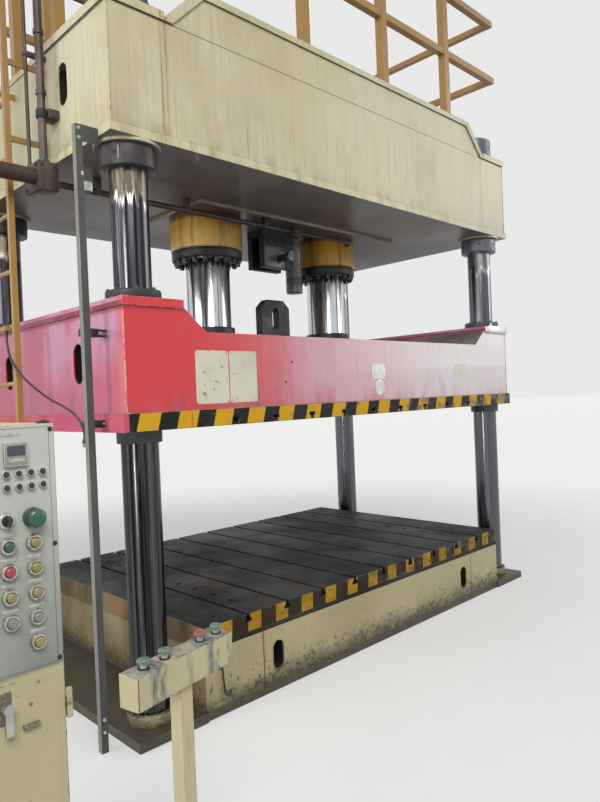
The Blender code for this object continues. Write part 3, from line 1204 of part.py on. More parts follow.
def make_buttons():
    """Panel buttons. Each origin is on the button's own axis, in the panel's front face."""
    front = CABINET_FRONT - SEAT_GAP - PANEL_THICKNESS
    places = button_places()
    facing = (math.pi / 2, 0, 0)

    (x, z), (sx, sz) = places[0], places[1]
    stop = bmesh.new()
    add_turned(stop, button_shank() + [
        (BUTTON_R, BUTTON_PROUD), (STOP_HEAD_R, BUTTON_PROUD),
        (STOP_HEAD_R, BUTTON_PROUD + STOP_HEAD_HEIGHT * 0.6),
        (STOP_HEAD_R * 0.7, BUTTON_PROUD + STOP_HEAD_HEIGHT)], (0, 0, 0), SMALL_SIDES)
    as_object("mushroom_button", stop, BUTTON_GREEN, (x, front, z), facing, True)

    selector = bmesh.new()
    add_turned(selector, button_shank() + [(BUTTON_R, BUTTON_PROUD)], (0, 0, 0), SMALL_SIDES)
    knob = as_object("selector_switch", selector, BLACK_PLASTIC, (sx, front, sz), facing, True)
    wing = bmesh.new()
    add_box(wing, (-SELECTOR_WING / 2, -BUTTON_R * 0.9, BUTTON_PROUD - BURY),
            (SELECTOR_WING / 2, BUTTON_R * 0.9, BUTTON_PROUD + SELECTOR_HEIGHT / 2))
    weld(knob, wing, "wing")

    looks = [BUTTON_GOLD, BUTTON_GOLD, BUTTON_GOLD, BUTTON_GREY, BUTTON_GOLD,
             BUTTON_GREEN, BUTTON_RED, BUTTON_GOLD, BUTTON_GREEN]
    for number, ((px, pz), look) in enumerate(zip(places[2:], looks), 1):
        bm = bmesh.new()
        add_turned(bm, button_shank() + [(BUTTON_R, BUTTON_PROUD - BUTTON_R / 8),
                                         (BUTTON_R * 0.85, BUTTON_PROUD)], (0, 0, 0), SMALL_SIDES)
        as_object(f"push_button_{number}", bm, look, (px, front, pz), facing, True)


def make_door():
    """Cabinet door. Its origin is on the hinge axis at the front right corner."""
    axis_x = CABINET_RIGHT
    axis_y = CABINET_FRONT - DOOR_THICKNESS
    place = (axis_x, axis_y, 0)
    left = CABINET_LEFT - axis_x + DOOR_MARGIN
    thick = DOOR_THICKNESS - SEAT_GAP
    bm = bmesh.new()
    add_box(bm, (left, 0, DOOR_BOTTOM), (-DOOR_MARGIN, thick, DOOR_TOP))
    door = as_object("cabinet_door", bm, CREAM, place)
    knuckles = bmesh.new()
    for z in HINGE_HEIGHTS:
        low = z + HINGE_KNUCKLE + SEAT_GAP
        add_rod(knuckles, HINGE_R, low, low + HINGE_KNUCKLE, (0, 0, 0), PIPE_SIDES)
    webs = bmesh.new()
    for z in HINGE_HEIGHTS:
        low = z + HINGE_KNUCKLE + SEAT_GAP
        add_box(webs, (-DOOR_MARGIN - BURY * 2, 0.001, low + 0.001),
                (0, HINGE_R / 2, low + HINGE_KNUCKLE - 0.001))
    weld(door, webs, "hinge_webs")
    weld(door, knuckles, "knuckles")

    handle = bmesh.new()
    reach = HANDLE_HUB_R * 2
    add_rod(handle, HANDLE_HUB_R, SEAT_GAP, reach, (0, 0, 0), SMALL_SIDES, "-y")
    handle_object = as_object("door_handle", handle, CHROME, (HANDLE_X, axis_y, HANDLE_Z), round_piece=True)
    lever = bmesh.new()
    add_box(lever, (-HANDLE_WIDTH / 2, -reach + 0.001, -HANDLE_LENGTH), (HANDLE_WIDTH / 2, -reach / 2, 0))
    weld(handle_object, lever, "lever")


def make_stand():
    """Two-hand button stand: a welded box on a post, with palm buttons in its top."""
    place = (STAND_X, STAND_Y, 0)
    turn = (0, 0, STAND_TURN)
    bm = bmesh.new()
    add_box(bm, (0, 0, STAND_TOP - STAND_HEIGHT), (STAND_LENGTH, STAND_WIDTH, STAND_TOP))
    stand = as_object("button_stand", bm, CREAM, place, turn)
    middle_x, middle_y = STAND_LENGTH / 2, STAND_WIDTH / 2
    post = bmesh.new()
    add_box(post, (middle_x - STAND_POST / 2, middle_y - STAND_POST / 2, STAND_FOOT_THICKNESS / 2),
            (middle_x + STAND_POST / 2, middle_y + STAND_POST / 2, STAND_TOP - STAND_HEIGHT + BURY))
    weld(stand, post, "post")
    foot = bmesh.new()
    add_box(foot, (middle_x - STAND_FOOT / 2, middle_y - STAND_FOOT / 2, 0),
            (middle_x + STAND_FOOT / 2, middle_y + STAND_FOOT / 2, STAND_FOOT_THICKNESS))
    weld(stand, foot, "foot")
    bores = bmesh.new()
    for along in PALM_PLACES:
        add_rod(bores, PALM_STEM_R + ROUND_GAP, STAND_TOP - PALM_BORE_DEPTH, STAND_TOP + BURY,
                (along, middle_y, 0), SMALL_SIDES)
    cut(stand, bores, "bores")

    frame = Matrix.Translation(place) @ Matrix.Rotation(STAND_TURN, 4, "Z")
    looks = (BUTTON_GREEN, BUTTON_GREEN, BUTTON_RED, BUTTON_GREEN)
    stem_foot = PALM_TRAVEL - PALM_BORE_DEPTH + BURY
    for number, (along, look) in enumerate(zip(PALM_PLACES, looks), 1):
        bm = bmesh.new()
        head_top = PALM_HEAD_BOTTOM + PALM_HEAD_HEIGHT
        add_turned(bm, [(PALM_STEM_R, stem_foot), (PALM_STEM_R, PALM_HEAD_BOTTOM),
                        (PALM_HEAD_R, PALM_HEAD_BOTTOM + PALM_HEAD_HEIGHT / 3),
                        (PALM_HEAD_R, PALM_HEAD_BOTTOM + PALM_HEAD_HEIGHT * 2 / 3),
                        (PALM_HEAD_R * 0.75, head_top)], (0, 0, 0), SMALL_SIDES)
        at = frame @ Vector((along, middle_y, STAND_TOP))
        as_object(f"palm_button_{number}", bm, look, at, turn, True)


def smooth_route(points, count):
    """A Catmull-Rom curve through the route, with a straight stretch at each end."""
    route = [Vector(p) for p in points]
    spans = len(route) - 3
    made = [route[0]]
    for i in range(count - 2):
        t = spans * i / (count - 3)
        k = min(int(t), spans - 1)
        u = t - k
        a, b, c, d = route[k:k + 4]
        made.append(0.5 * ((2 * b) + (c - a) * u + (2 * a - 5 * b + 4 * c - d) * u * u
                           + (3 * b - a - 3 * c + d) * u * u * u))
    return made + [route[-1]]


def make_cable():
    curve = bpy.data.curves.new("signal_cable", "CURVE")
    curve.dimensions = "3D"
    curve.bevel_depth = CABLE_R
    curve.bevel_resolution = 1
    curve.use_fill_caps = True
    points = smooth_route(CABLE_ROUTE, CABLE_POINTS)
    spline = curve.splines.new("POLY")
    spline.points.add(len(points) - 1)
    for target, point in zip(spline.points, points):
        target.co = (*point, 1.0)
    curve.materials.append(material(CABLE_BLACK))
    cable = bpy.data.objects.new("signal_cable", curve)
    bpy.context.collection.objects.link(cable)


def main():
    clear_scene()
    make_bed()
    make_bolster()
    make_columns()
    make_nuts()
    make_crown()
    make_cylinders()
    make_slide()
    make_bushes()
    make_lock()
    make_arms()
    make_limit_rail()
    make_ladder()
    make_guard_rail()
    make_pipes()
    make_cabinet()
    make_buttons()
    make_door()
    make_stand()
    make_cable()


main()
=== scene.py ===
"""Looks for the four-column hydraulic press: camera, light, materials and small fittings."""

import math

import bmesh
import bpy
from mathutils import Matrix, Vector


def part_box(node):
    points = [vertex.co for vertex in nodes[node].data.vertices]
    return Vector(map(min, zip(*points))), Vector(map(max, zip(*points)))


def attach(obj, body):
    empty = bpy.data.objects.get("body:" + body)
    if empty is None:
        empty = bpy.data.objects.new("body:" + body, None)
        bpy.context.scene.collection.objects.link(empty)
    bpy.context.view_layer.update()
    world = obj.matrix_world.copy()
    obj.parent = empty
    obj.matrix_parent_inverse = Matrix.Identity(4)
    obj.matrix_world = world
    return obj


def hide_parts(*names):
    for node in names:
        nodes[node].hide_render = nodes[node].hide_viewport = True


# Camera fitted to the photograph
CAMERA_PLACE = (-3.4857, -3.8109, 1.6751)
CAMERA_YAW = math.radians(45.4876)
CAMERA_PITCH = math.radians(-0.4956)
CAMERA_ROLL = math.radians(-2.3657)
FOCAL_PIXELS = 656.33
IMAGE_WIDTH = 600
SENSOR_WIDTH = 36.0

# Colours that several looks share or that set a look's tone, linear
CREAM = (0.545, 0.49, 0.285)
CREAM_PALE = (0.6, 0.56, 0.4)
CREAM_AGED = (0.4, 0.345, 0.19)
CREAM_DIRTY = (0.25, 0.2, 0.095)
RUST = (0.23, 0.12, 0.04)
GRIME = (0.048, 0.04, 0.03)
# Colour of the crown's underside: painted shade
UNDERSIDE_SHADE = (0.12, 0.098, 0.082)
CRIMSON = (0.21, 0.01, 0.03)
# Painted shade inside the blind pockets
HOLLOW_SHADE = (0.012, 0.011, 0.01)
RED = (0.6, 0.036, 0.042)
ROSE = (0.56, 0.13, 0.155)
# Pink and white of the slide's fade: partly chalked paint, partly painted sheen
PINK_CHALK_AND_SHEEN = (0.6, 0.33, 0.38)
WHITE_CHALK_AND_SHEEN = (0.66, 0.59, 0.6)
MAGENTA = (0.48, 0.09, 0.15)
VIOLET = (0.52, 0.245, 0.37)
DEEP_RED = (0.28, 0.016, 0.03)
SLATE_BROWN = (0.13, 0.108, 0.095)
HAZARD_YELLOW = (0.64, 0.35, 0.012)
HAZARD_BLACK = (0.006, 0.008, 0.007)
# Near-black bolster steel: its dark steel darkened further with painted shade
BOLSTER_STEEL_SHADED = (0.008, 0.008, 0.009)
DARK_STEEL = (0.06, 0.056, 0.056)
WORN_STEEL = (0.2, 0.19, 0.18)
OIL_BROWN = (0.045, 0.026, 0.014)
CHROME = (0.64, 0.645, 0.67)
CHROME_SHADE = (0.12, 0.118, 0.126)
COLUMN_STEEL = (0.125, 0.12, 0.13)
COLUMN_DARK = (0.016, 0.014, 0.018)
NUT_STEEL = (0.03, 0.026, 0.029)
NUT_WORN = (0.095, 0.086, 0.09)
BUSH_STEEL = (0.036, 0.036, 0.04)
OCHRE = (0.76, 0.4, 0.045)
OCHRE_PALE = (0.83, 0.54, 0.17)
OCHRE_STAIN = (0.12, 0.048, 0.014)
RAIL_DARK = (0.045, 0.048, 0.045)
# Lit-side colour of the limit rail: painted light
RAIL_LIT_SIDE = (0.205, 0.2, 0.18)
YELLOW = (0.33, 0.185, 0.045)
YELLOW_PALE = (0.35, 0.2, 0.065)
PIPE_BROWN = (0.036, 0.022, 0.018)
PIPE_PALE = (0.085, 0.06, 0.048)
PANEL = (0.6, 0.62, 0.58)
PANEL_SHADE = (0.23, 0.25, 0.225)
BLACK = (0.014, 0.014, 0.015)
PLATE_WHITE = (0.62, 0.6, 0.48)
BARE_METAL = (0.42, 0.42, 0.4)
FLOOR = (0.62, 0.618, 0.61)
BACKDROP = (0.815, 0.815, 0.81)
SKY = (0.37, 0.375, 0.385)

# Places shared with the solids
COLUMN_X = 1.717
COLUMN_Y = 0.828
COLUMN_R = 0.096
BOSS_R = 0.168
BOSS_RING = (2.9572, 2.9745)
NUT_HOLES = (214, 271, 331, 391, 451, 511)
CHALK_ANGLE = 222
CYLINDER_X = 0.615
BARREL_R = 0.255
BARREL_TOP = 2.9535
SLIDE_FRONT = -0.969
SLIDE_END = -1.861
SLIDE_FOOT = 1.6195
SLIDE_FLANGE = 2.147
CROWN_FRONT = -0.984
CROWN_END = 1.89
CROWN_FOOT = 3.0195
CROWN_JOINTS = (3.022, 3.603)
BED_FRONT = -1.009
BED_SEAM = -1.097
POCKET_HEIGHTS = {"crown": 3.368, "slide": 1.891, "bed": 0.198}
POCKET_PLACES = {"crown": 0.498, "slide": 0.48, "bed": 0.985}
PANEL_FRONT = -2.5003
DOOR_FRONT = -2.515
CABINET_TOP = 1.64
STAND_CORNER = (-2.53, -2.132)
STAND_TURN = math.radians(12.1)
STAND_TOP = 0.8845
SUPPLY = (-1.968, -0.405)
SUPPLY_R = 0.0215
PILOT = (-2.0, -0.302)
PILOT_R = 0.01
CROSS_Y = -0.318
CROSS_Z = 2.893
HANGERS = ((-1.62, 2.9738), (-1.0, 2.9738), (-0.33, 2.9538))
CABLE_R = 0.006
CABLE_POINTS = 40
CABLE_ROUTE = (
    (-2.124, -0.2, 2.087), (-2.124, -0.2, 2.04), (-2.124, -0.212, 1.985), (-2.124, -0.242, 1.935),
    (-2.121, -0.285, 1.89), (-2.115, -0.335, 1.85), (-2.108, -0.39, 1.813), (-2.1, -0.446, 1.78),
    (-2.091, -0.503, 1.75), (-2.081, -0.561, 1.722), (-2.07, -0.619, 1.697), (-2.059, -0.677, 1.675),
    (-2.047, -0.732, 1.652), (-2.035, -0.782, 1.622), (-2.025, -0.818, 1.581), (-2.019, -0.834, 1.533),
    (-2.0185, -0.8345, 1.49),
)
CORNERS = {"front_left": (-COLUMN_X, -COLUMN_Y), "front_right": (COLUMN_X, -COLUMN_Y),
           "rear_left": (-COLUMN_X, COLUMN_Y), "rear_right": (COLUMN_X, COLUMN_Y)}

ROOT = "press_frame"
SLIDE = "slide_body"
UP, DOWN, FORWARD, LEFT, RIGHT = (0, 0, 1), (0, 0, -1), (0, -1, 0), (-1, 0, 0), (1, 0, 0)
FINE = 96


class Look:
    """A procedural material in layers: helpers hand back masks, and tint lays a colour over the last."""

    def __init__(self, name, roughness=0.5, metallic=0.0, coat=0.0, specular=0.5, edge=0.0):
        self.material = bpy.data.materials.new(name)
        self.material.use_nodes = True
        self.tree = self.material.node_tree
        self.shader = self.tree.nodes["Principled BSDF"]
        for socket, value in (("Roughness", roughness), ("Metallic", metallic), ("Coat Weight", coat),
                              ("Specular IOR Level", specular)):
            self.shader.inputs[socket].default_value = value
        self.place = self.node("TexCoord", output="Object")
        self.at = [self.node("SeparateXYZ", {0: self.place}, i) for i in range(3)]
        self.x, self.y, self.z = self.at
        self.colour = None
        self.normal = self.node("Bevel", {"Radius": edge}, samples=4) if edge else None

    def feed(self, socket, value):
        if isinstance(value, bpy.types.NodeSocket):
            self.tree.links.new(value, socket)
        elif socket.type == "RGBA":
            socket.default_value = (*value, 1)
        else:
            socket.default_value = value

    def node(self, kind, inputs=(), output=0, **settings):
        """Add a node, feed its inputs and hand back one of its outputs."""
        made = self.tree.nodes.new("ShaderNode" + kind)
        for name, value in settings.items():
            setattr(made, name, value)
        for key, value in dict(inputs).items():
            self.feed(made.inputs[key], value)
        return made.outputs[output]

    def math(self, operation, a, b=0.0):
        return self.node("Math", {0: a, 1: b}, operation=operation)

    def add(self, a, b):
        return self.math("ADD", a, b)

    def both(self, *factors):
        result = factors[0]
        for factor in factors[1:]:
            result = self.math("MULTIPLY", result, factor)
        return result

    def off(self, value, centre):
        """Distance of a value from a place."""
        return self.math("ABSOLUTE", self.math("SUBTRACT", value, centre))

    def sway(self, noise, amount):
        """A noise turned into a shift to either side."""
        return self.both(self.math("SUBTRACT", noise, 0.5), amount)

    def noise(self, scale, stretch=(1, 1, 1), detail=4, roughness=0.55):
        place = self.node("Mapping", {"Vector": self.place, "Scale": stretch})
        return self.node("TexNoise", {"Vector": place, "Scale": scale, "Detail": detail, "Roughness": roughness})

    def span(self, value, low, high, out_low=0, out_high=1):
        """Smoothly turn low..high of a value into out_low..out_high."""
        return self.node("MapRange", {"Value": value, "From Min": low, "From Max": high, "To Min": out_low,
                                      "To Max": out_high}, interpolation_type="SMOOTHSTEP")

    def blots(self, limits, scale, stretch=(1, 1, 1), detail=4, roughness=0.55):
        """A mask of patches: a noise cut by the limits that span takes."""
        return self.span(self.noise(scale, stretch, detail, roughness), *limits)

    def mix(self, factor, first, second):
        return self.node("Mix", {0: factor, 6: first, 7: second}, 2, data_type="RGBA")

    def tint(self, colour, *factors):
        """Lay a colour over what is there, where all its masks are 1."""
        self.colour = self.mix(self.both(*factors), self.colour, colour)

    def facing(self, index, sign, low=0.5, high=0.8):
        """1 where the surface faces along an axis."""
        normal = self.node("SeparateXYZ", {0: self.node("TexCoord", output="Normal")}, index)
        return self.span(self.both(normal, sign), low, high)

    def upright(self):
        """1 on walls, 0 on level faces."""
        normal = self.node("SeparateXYZ", {0: self.node("TexCoord", output="Normal")}, 2)
        return self.math("SUBTRACT", 1.0, self.math("ABSOLUTE", normal))

    def within(self, value, low, high, soft=0.002):
        """1 where a value lies between two others."""
        return self.both(self.span(value, low - soft, low + soft), self.span(value, high + soft, high - soft))

    def line(self, value, at, half_width, wander):
        """1 in a thin band that wanders about a place on an axis."""
        shift = self.sway(self.noise(2.2, (1, 1, 0.6)), wander)
        return self.span(self.off(self.add(value, shift), at), half_width, half_width * 0.3)

    def edge_wear(self, radius, low=0.02, high=0.12):
        """1 near sharp edges, found by comparing a rounded normal with the real one."""
        rounded = self.node("Bevel", {"Radius": radius}, samples=4)
        real = self.node("NewGeometry", output="Normal")
        dot = self.node("VectorMath", {0: rounded, 1: real}, "Value", operation="DOT_PRODUCT")
        return self.span(self.math("SUBTRACT", 1.0, dot), low, high)

    def bump(self, height, strength=0.3, distance=0.01):
        inputs = {"Strength": strength, "Distance": distance, "Height": height}
        if self.normal:
            inputs["Normal"] = self.normal
        self.normal = self.node("Bump", inputs)

    def done(self, roughness=None):
        self.feed(self.shader.inputs["Base Color"], self.colour)
        if roughness is not None:
            self.feed(self.shader.inputs["Roughness"], roughness)
        if self.normal:
            self.feed(self.shader.inputs["Normal"], self.normal)
        return self.material


def cream_paint(name, low_dirt=0.4, runs=0.5, base=(CREAM, CREAM_PALE), height=(0, 1), extra=None):
    """Brushed cream enamel: faded, streaked by rain of dirt and oil, chipped at its edges."""
    look = Look(name, 0.45, coat=0.06, edge=0.005)
    low, high = height
    wall = look.upright()
    cloud = look.noise(0.9, roughness=0.6)
    look.colour = look.mix(look.span(cloud, 0.36, 0.66), *base)
    look.tint(CREAM_AGED, look.blots((0.46, 0.72, 0, 0.5), 2.7, (1, 1, 0.55), 5, 0.6))
    look.tint(CREAM_AGED, look.blots((0.5, 0.76, 0, 0.55 * runs), 5, (9, 9, 0.3), 5, 0.6), wall)
    lower = look.span(look.z, high, low + (high - low) * 0.15, 0.35, 1)
    look.tint(CREAM_DIRTY, look.blots((0.55, 0.74, 0, 0.75 * runs), 8, (15, 15, 0.22), 4, 0.62), wall, lower)
    foot = look.span(look.z, low + (high - low) * 0.55, low)
    look.tint(GRIME, foot, look.blots((0.4, 0.62), 6.5, (1, 1, 0.8), 7, 0.68), low_dirt)
    look.tint(CREAM_DIRTY, look.blots((0.68, 0.74, 0, 0.6), 70, detail=2), 0.5 + 0.5 * low_dirt)
    if extra:
        extra(look, wall)
    look.tint(GRIME, look.edge_wear(0.008), look.blots((0.54, 0.61), 24, detail=5), 0.8)
    look.bump(look.noise(90, detail=2), 0.06, 0.004)
    look.bump(look.noise(3, detail=3), 0.12, 0.03)
    return look.done(look.span(cloud, 0.3, 0.7, 0.38, 0.58))


def pocket(look, name, into, depth, across, half_width, half_height):
    """Paint shade into the blind oval pockets that are mirrored about the middle of the press."""
    deep = look.math("ABSOLUTE", look.at[into])
    side = look.off(look.math("ABSOLUTE", look.at[across]), POCKET_PLACES[name])
    rise = look.off(look.z, POCKET_HEIGHTS[name])
    look.tint(HOLLOW_SHADE, look.within(deep, *depth, 0.001), look.span(side, half_width + 0.001, half_width),
              look.span(rise, half_height + 0.001, half_height))


def crown_extras(look, wall):
    """Weld seams with rust runs, painted shadow lines at the plate joints, a painted lit band on the bottom plate and
    painted shade on the underside.
    """
    for x, tan in ((-1.578, 0.55), (1.522, 0.3)):
        look.tint((0.4, 0.27, 0.1), look.line(look.x, x, 0.04, 0.03), look.noise(9, (4, 4, 0.5)), wall, tan)
        for shift in (-0.017, 0.012):
            look.tint(RUST, look.line(look.x, x + shift, 0.007, 0.03),
                      look.blots((0.34, 0.6), 7, (5, 5, 0.4), 5), wall, 0.75)
    look.tint(RUST, look.facing(0, -1), look.line(look.y, -0.3, 0.03, 0.05),
              look.blots((0.35, 0.6), 6, (4, 4, 0.4)), 0.55)
    # Painted shadow: thin dark lines along the plate joints.
    for z in CROWN_JOINTS:
        look.tint((0.095, 0.075, 0.045), look.span(look.off(look.z, z), 0.0045, 0.0015), wall, 0.8)
    # Painted light: a paler lit band on the walls of the bottom plate.
    look.tint((0.62, 0.57, 0.37), look.within(look.z, 2.974, 3.017), wall, 0.65)
    look.tint(CREAM_DIRTY, look.span(look.z, 3.12, 3.02), wall,
              look.blots((0.42, 0.66, 0, 0.5), 3, (3, 3, 1), 5))
    look.tint((0.12, 0.09, 0.045), look.blots((0.6, 0.72), 6, (20, 20, 0.12), 4, 0.6),
              look.span(look.z, 3.6, 3.2, 0.25, 1), look.blots((0.4, 0.62), 1.1, (1, 1, 0.3), 2), wall, 0.75)
    look.tint((0.26, 0.2, 0.16), look.span(look.x, 0.6, 1.7), look.span(look.z, 3.5, 3), wall,
              look.blots((0.3, 0.6, 0.2, 0.5), 2))
    pocket(look, "crown", 0, (1.7, 1.882), 1, 0.07, 0.13)
    # Painted shade: faces that look down get a dark grey-brown, paler in patches.
    underside_shade = look.mix(look.blots((0.35, 0.65), 1.8, detail=5), UNDERSIDE_SHADE, (0.185, 0.16, 0.15))
    look.tint(underside_shade, look.facing(2, -1))


def bed_extras(look, wall):
    """A weld seam with rust, rub marks, painted shade on the faces toward -X and the oily top of the sills."""
    look.tint((0.07, 0.045, 0.022), look.line(look.x, BED_SEAM, 0.006, 0.006), wall, 0.85)
    look.tint(RUST, look.line(look.x, -1.092, 0.03, 0.02), wall,
              look.blots((0.42, 0.66), 9, (4, 4, 0.6), 5), 0.6)
    # Painted shade: faces toward -X are darker tan.
    look.tint((0.17, 0.115, 0.055), look.facing(0, -1), look.blots((0.32, 0.6, 0.35, 0.85), 3, (1, 1, 0.5), 5))
    look.tint(GRIME, look.within(look.z, -0.01, 0.051, 0.001), look.blots((0.3, 0.6, 0.45, 0.9), 4, detail=5))
    tide = look.add(look.z, look.both(look.noise(5, (1, 1, 1.5), 6, 0.65), -0.16))
    look.tint((0.062, 0.05, 0.028), look.span(tide, 0.075, -0.045, 0, 0.85))
    pocket(look, "bed", 1, (0.85, 1.001), 0, 0.055, 0.095)
    look.tint(GRIME, look.facing(2, 1), look.blots((0.36, 0.58), 3.2, detail=7, roughness=0.66), 0.9)
    splashes = look.add(look.noise(34, detail=6, roughness=0.72), look.span(look.z, 0.3, 0.02, 0, 0.15))
    look.tint((0.04, 0.034, 0.018), look.span(splashes, 0.64, 0.7, 0, 0.85), wall)
    look.tint((0.13, 0.098, 0.052), look.blots((0.6, 0.7, 0, 0.6), 12, (1, 1, 3), 6, 0.7), wall)


def cabinet_extras(look, wall):
    """Bare gear plate and dark gear behind the door."""
    room = look.both(look.within(look.x, -3.236, -2.919), look.within(look.z, 0.25, 1.035))
    zinc = look.mix(look.blots((0.4, 0.62), 14, detail=5), (0.23, 0.235, 0.235), (0.35, 0.355, 0.35))
    look.tint(zinc, room, look.span(look.y, -2.22, -2.2185), look.span(look.y, -2.203, -2.2045))
    housing = look.mix(look.blots((0.4, 0.65), 40, detail=3), (0.03, 0.03, 0.032), (0.075, 0.075, 0.078))
    look.tint(housing, room, look.span(look.y, -2.295, -2.2935), look.span(look.y, -2.2172, -2.2182))


def red_paint():
    """Red enamel, deep at the front left, faded to pink and white along the beam, partly chalked paint and partly
    painted sheen, and violet at its ends.
    """
    look = Look("red_paint_faded", 0.34, coat=0.2, edge=0.006)
    x, z = look.x, look.z
    wall, end = look.upright(), look.facing(0, -1)
    cloud = look.noise(1.3, (1, 1, 0.8), 6, 0.62)
    streak = look.noise(3.2, (3, 3, 0.45), 5, 0.6)
    wander = look.sway(cloud, 0.75)
    place = look.add(look.add(x, wander), look.sway(streak, 0.35))
    # Red through pink to white along X: partly chalked paint, partly painted sheen.
    look.colour = look.mix(look.span(place, -1.45, -0.85), RED, ROSE)
    look.tint(PINK_CHALK_AND_SHEEN, look.span(place, -1.05, -0.45))
    look.tint(WHITE_CHALK_AND_SHEEN, look.span(place, -0.45, 0.95))
    look.tint(MAGENTA, look.span(z, 1.78, 1.62), look.span(streak, 0.4, 0.62), look.span(x, 1.4, -0.6, 0.2, 0.65))
    lilac = look.both(look.blots((0.44, 0.66), 2.3, (1, 1, 0.45), 5),
                      look.span(look.add(z, wander), 1.66, 1.98, 0.1, 1))
    look.tint(look.mix(look.span(look.y, -0.86, -0.955), look.mix(lilac, MAGENTA, VIOLET), ROSE), end)
    look.tint((0.25, 0.15, 0.27), end, look.blots((0.52, 0.7), 4, (1, 1, 0.35), 5), look.span(z, 2.12, 1.95), 0.6)
    look.tint(DEEP_RED, look.blots((0.54, 0.82, 0, 0.32), 6, (9, 9, 0.35), 5, 0.6), wall,
              look.span(x, -1.5, -0.8, 0.35, 1))
    look.tint((0.13, 0.06, 0.065), look.blots((0.54, 0.72, 0, 0.55), 4, (1, 1, 0.35), 6),
              look.span(z, 1.9, 1.62), wall)
    # Painted shadow: a dark red band on the walls just under the flange.
    look.tint(DEEP_RED, look.span(look.add(z, look.sway(streak, 0.02)), 2.118, 2.132),
              look.span(z, 2.149, 2.147), wall, look.span(end, 0, 1, 0.35, 0.6))
    look.tint(CRIMSON, look.within(z, 2.14, 2.172, 0.003), end, look.span(streak, 0.3, 0.5, 0.65, 1))
    # Painted highlight: a pale pink strip down the front-left corner edge.
    corner = look.both(look.span(look.off(x, SLIDE_END), 0.006, 0.001),
                       look.span(look.y, SLIDE_FRONT + 0.02, SLIDE_FRONT + 0.004))
    look.tint((0.64, 0.33, 0.34), corner, look.blots((0.5, 0.6), 9, (1, 1, 1.5)), wall, 0.7)
    inner = look.span(look.math("ABSOLUTE", x), 1.52, 1.5)
    dust = look.mix(look.blots((0.38, 0.62), 3, detail=5), SLATE_BROWN, (0.24, 0.215, 0.195))
    look.tint(dust, look.facing(2, 1, 0.3, 0.6), look.math("MAXIMUM", inner, 0.45))
    look.tint(PLATE_WHITE, look.edge_wear(0.008), look.blots((0.53, 0.61), 30), 0.8)
    look.tint(DEEP_RED, look.blots((0.69, 0.74, 0, 0.7), 60, detail=2), wall)
    pocket(look, "slide", 0, (1.7, 1.853), 1, 0.075, 0.125)
    look.bump(look.noise(70, detail=2), 0.05, 0.004)
    look.bump(look.noise(2.5, detail=3), 0.12, 0.03)
    return look.done(look.span(cloud, 0.3, 0.7, 0.3, 0.48))


def hazard(look, start, pitch, lean, top, share):
    """1 in the yellow bars of a warning band that runs along X."""
    slid = look.math("SUBTRACT", look.x, look.both(look.math("SUBTRACT", look.z, top), lean))
    phase = look.math("FRACT", look.math("DIVIDE", look.add(slid, -start + pitch * 40), pitch))
    return look.both(look.span(phase, share + 0.012, share - 0.012), look.span(phase, 0, 0.02))


def steel_plate(name, steel, band, front_y, fade, soil, ends):
    """Machined plate with oil stains, and a painted warning band on its front edge."""
    start, pitch, lean, top, low, share = band
    begin, edge, *end_tints = ends
    look = Look(name, 0.5, 0.4, specular=0.22, edge=0.003)
    cloud = look.noise(1.7, detail=6, roughness=0.62)
    look.colour = look.mix(look.span(cloud, 0.36, 0.68), *steel)
    look.tint(WORN_STEEL, look.blots((0.4, 0.75, 0, 0.1), 60, (0.05, 1, 1), 2))
    look.tint(WORN_STEEL, look.blots((0.62, 0.7, 0, 0.3), 14, (0.5, 2, 1), 6, 0.7))
    look.tint(OIL_BROWN, look.blots((0.5, 0.62), 4.5, detail=7, roughness=0.7), 0.7)
    bare = look.colour
    look.colour = look.mix(hazard(look, start, pitch, lean, top, share), HAZARD_BLACK, HAZARD_YELLOW)
    worn = look.add(look.noise(12, (1, 1, 1.6), 6, 0.7), look.span(look.x, fade[0], fade[1], 0, fade[2]))
    look.tint((0.15, 0.14, 0.128), look.span(worn, 0.62, 0.74, 0, 0.9))
    look.tint((0.06, 0.045, 0.03), look.blots((0.6, 0.74, 0, 0.55), 10, (4, 4, 0.8), 5))
    look.tint((0.032, 0.017, 0.006), look.blots((0.34, 0.62, soil * 0.5, soil), 7, (1, 1, 1.4), 7, 0.7))
    dusky = look.mix(look.blots((0.4, 0.62), 3, (1, 1, 0.6), 5), *end_tints)
    look.tint(dusky, look.span(look.x, begin + 0.003, begin - 0.003), look.upright())
    front = look.both(look.facing(1, -1), look.span(look.y, front_y + 0.02, front_y + 0.01),
                      look.span(look.z, low, low + 0.003))
    left = look.both(look.facing(0, -1), look.span(look.x, edge + 0.012, edge + 0.008))
    painted = look.math("MAXIMUM", front, left)
    look.colour = look.mix(painted, bare, look.colour)
    look.tint(WORN_STEEL, look.edge_wear(0.006), look.blots((0.48, 0.58), 26))
    look.bump(look.noise(120, (0.2, 1, 1), 2), 0.08, 0.002)
    look.bump(look.noise(9, detail=5), 0.12, 0.006)
    look.feed(look.shader.inputs["Metallic"], look.both(look.math("SUBTRACT", 1.0, painted), 0.4))
    return look.done(look.span(cloud, 0.3, 0.7, 0.72, 0.5))


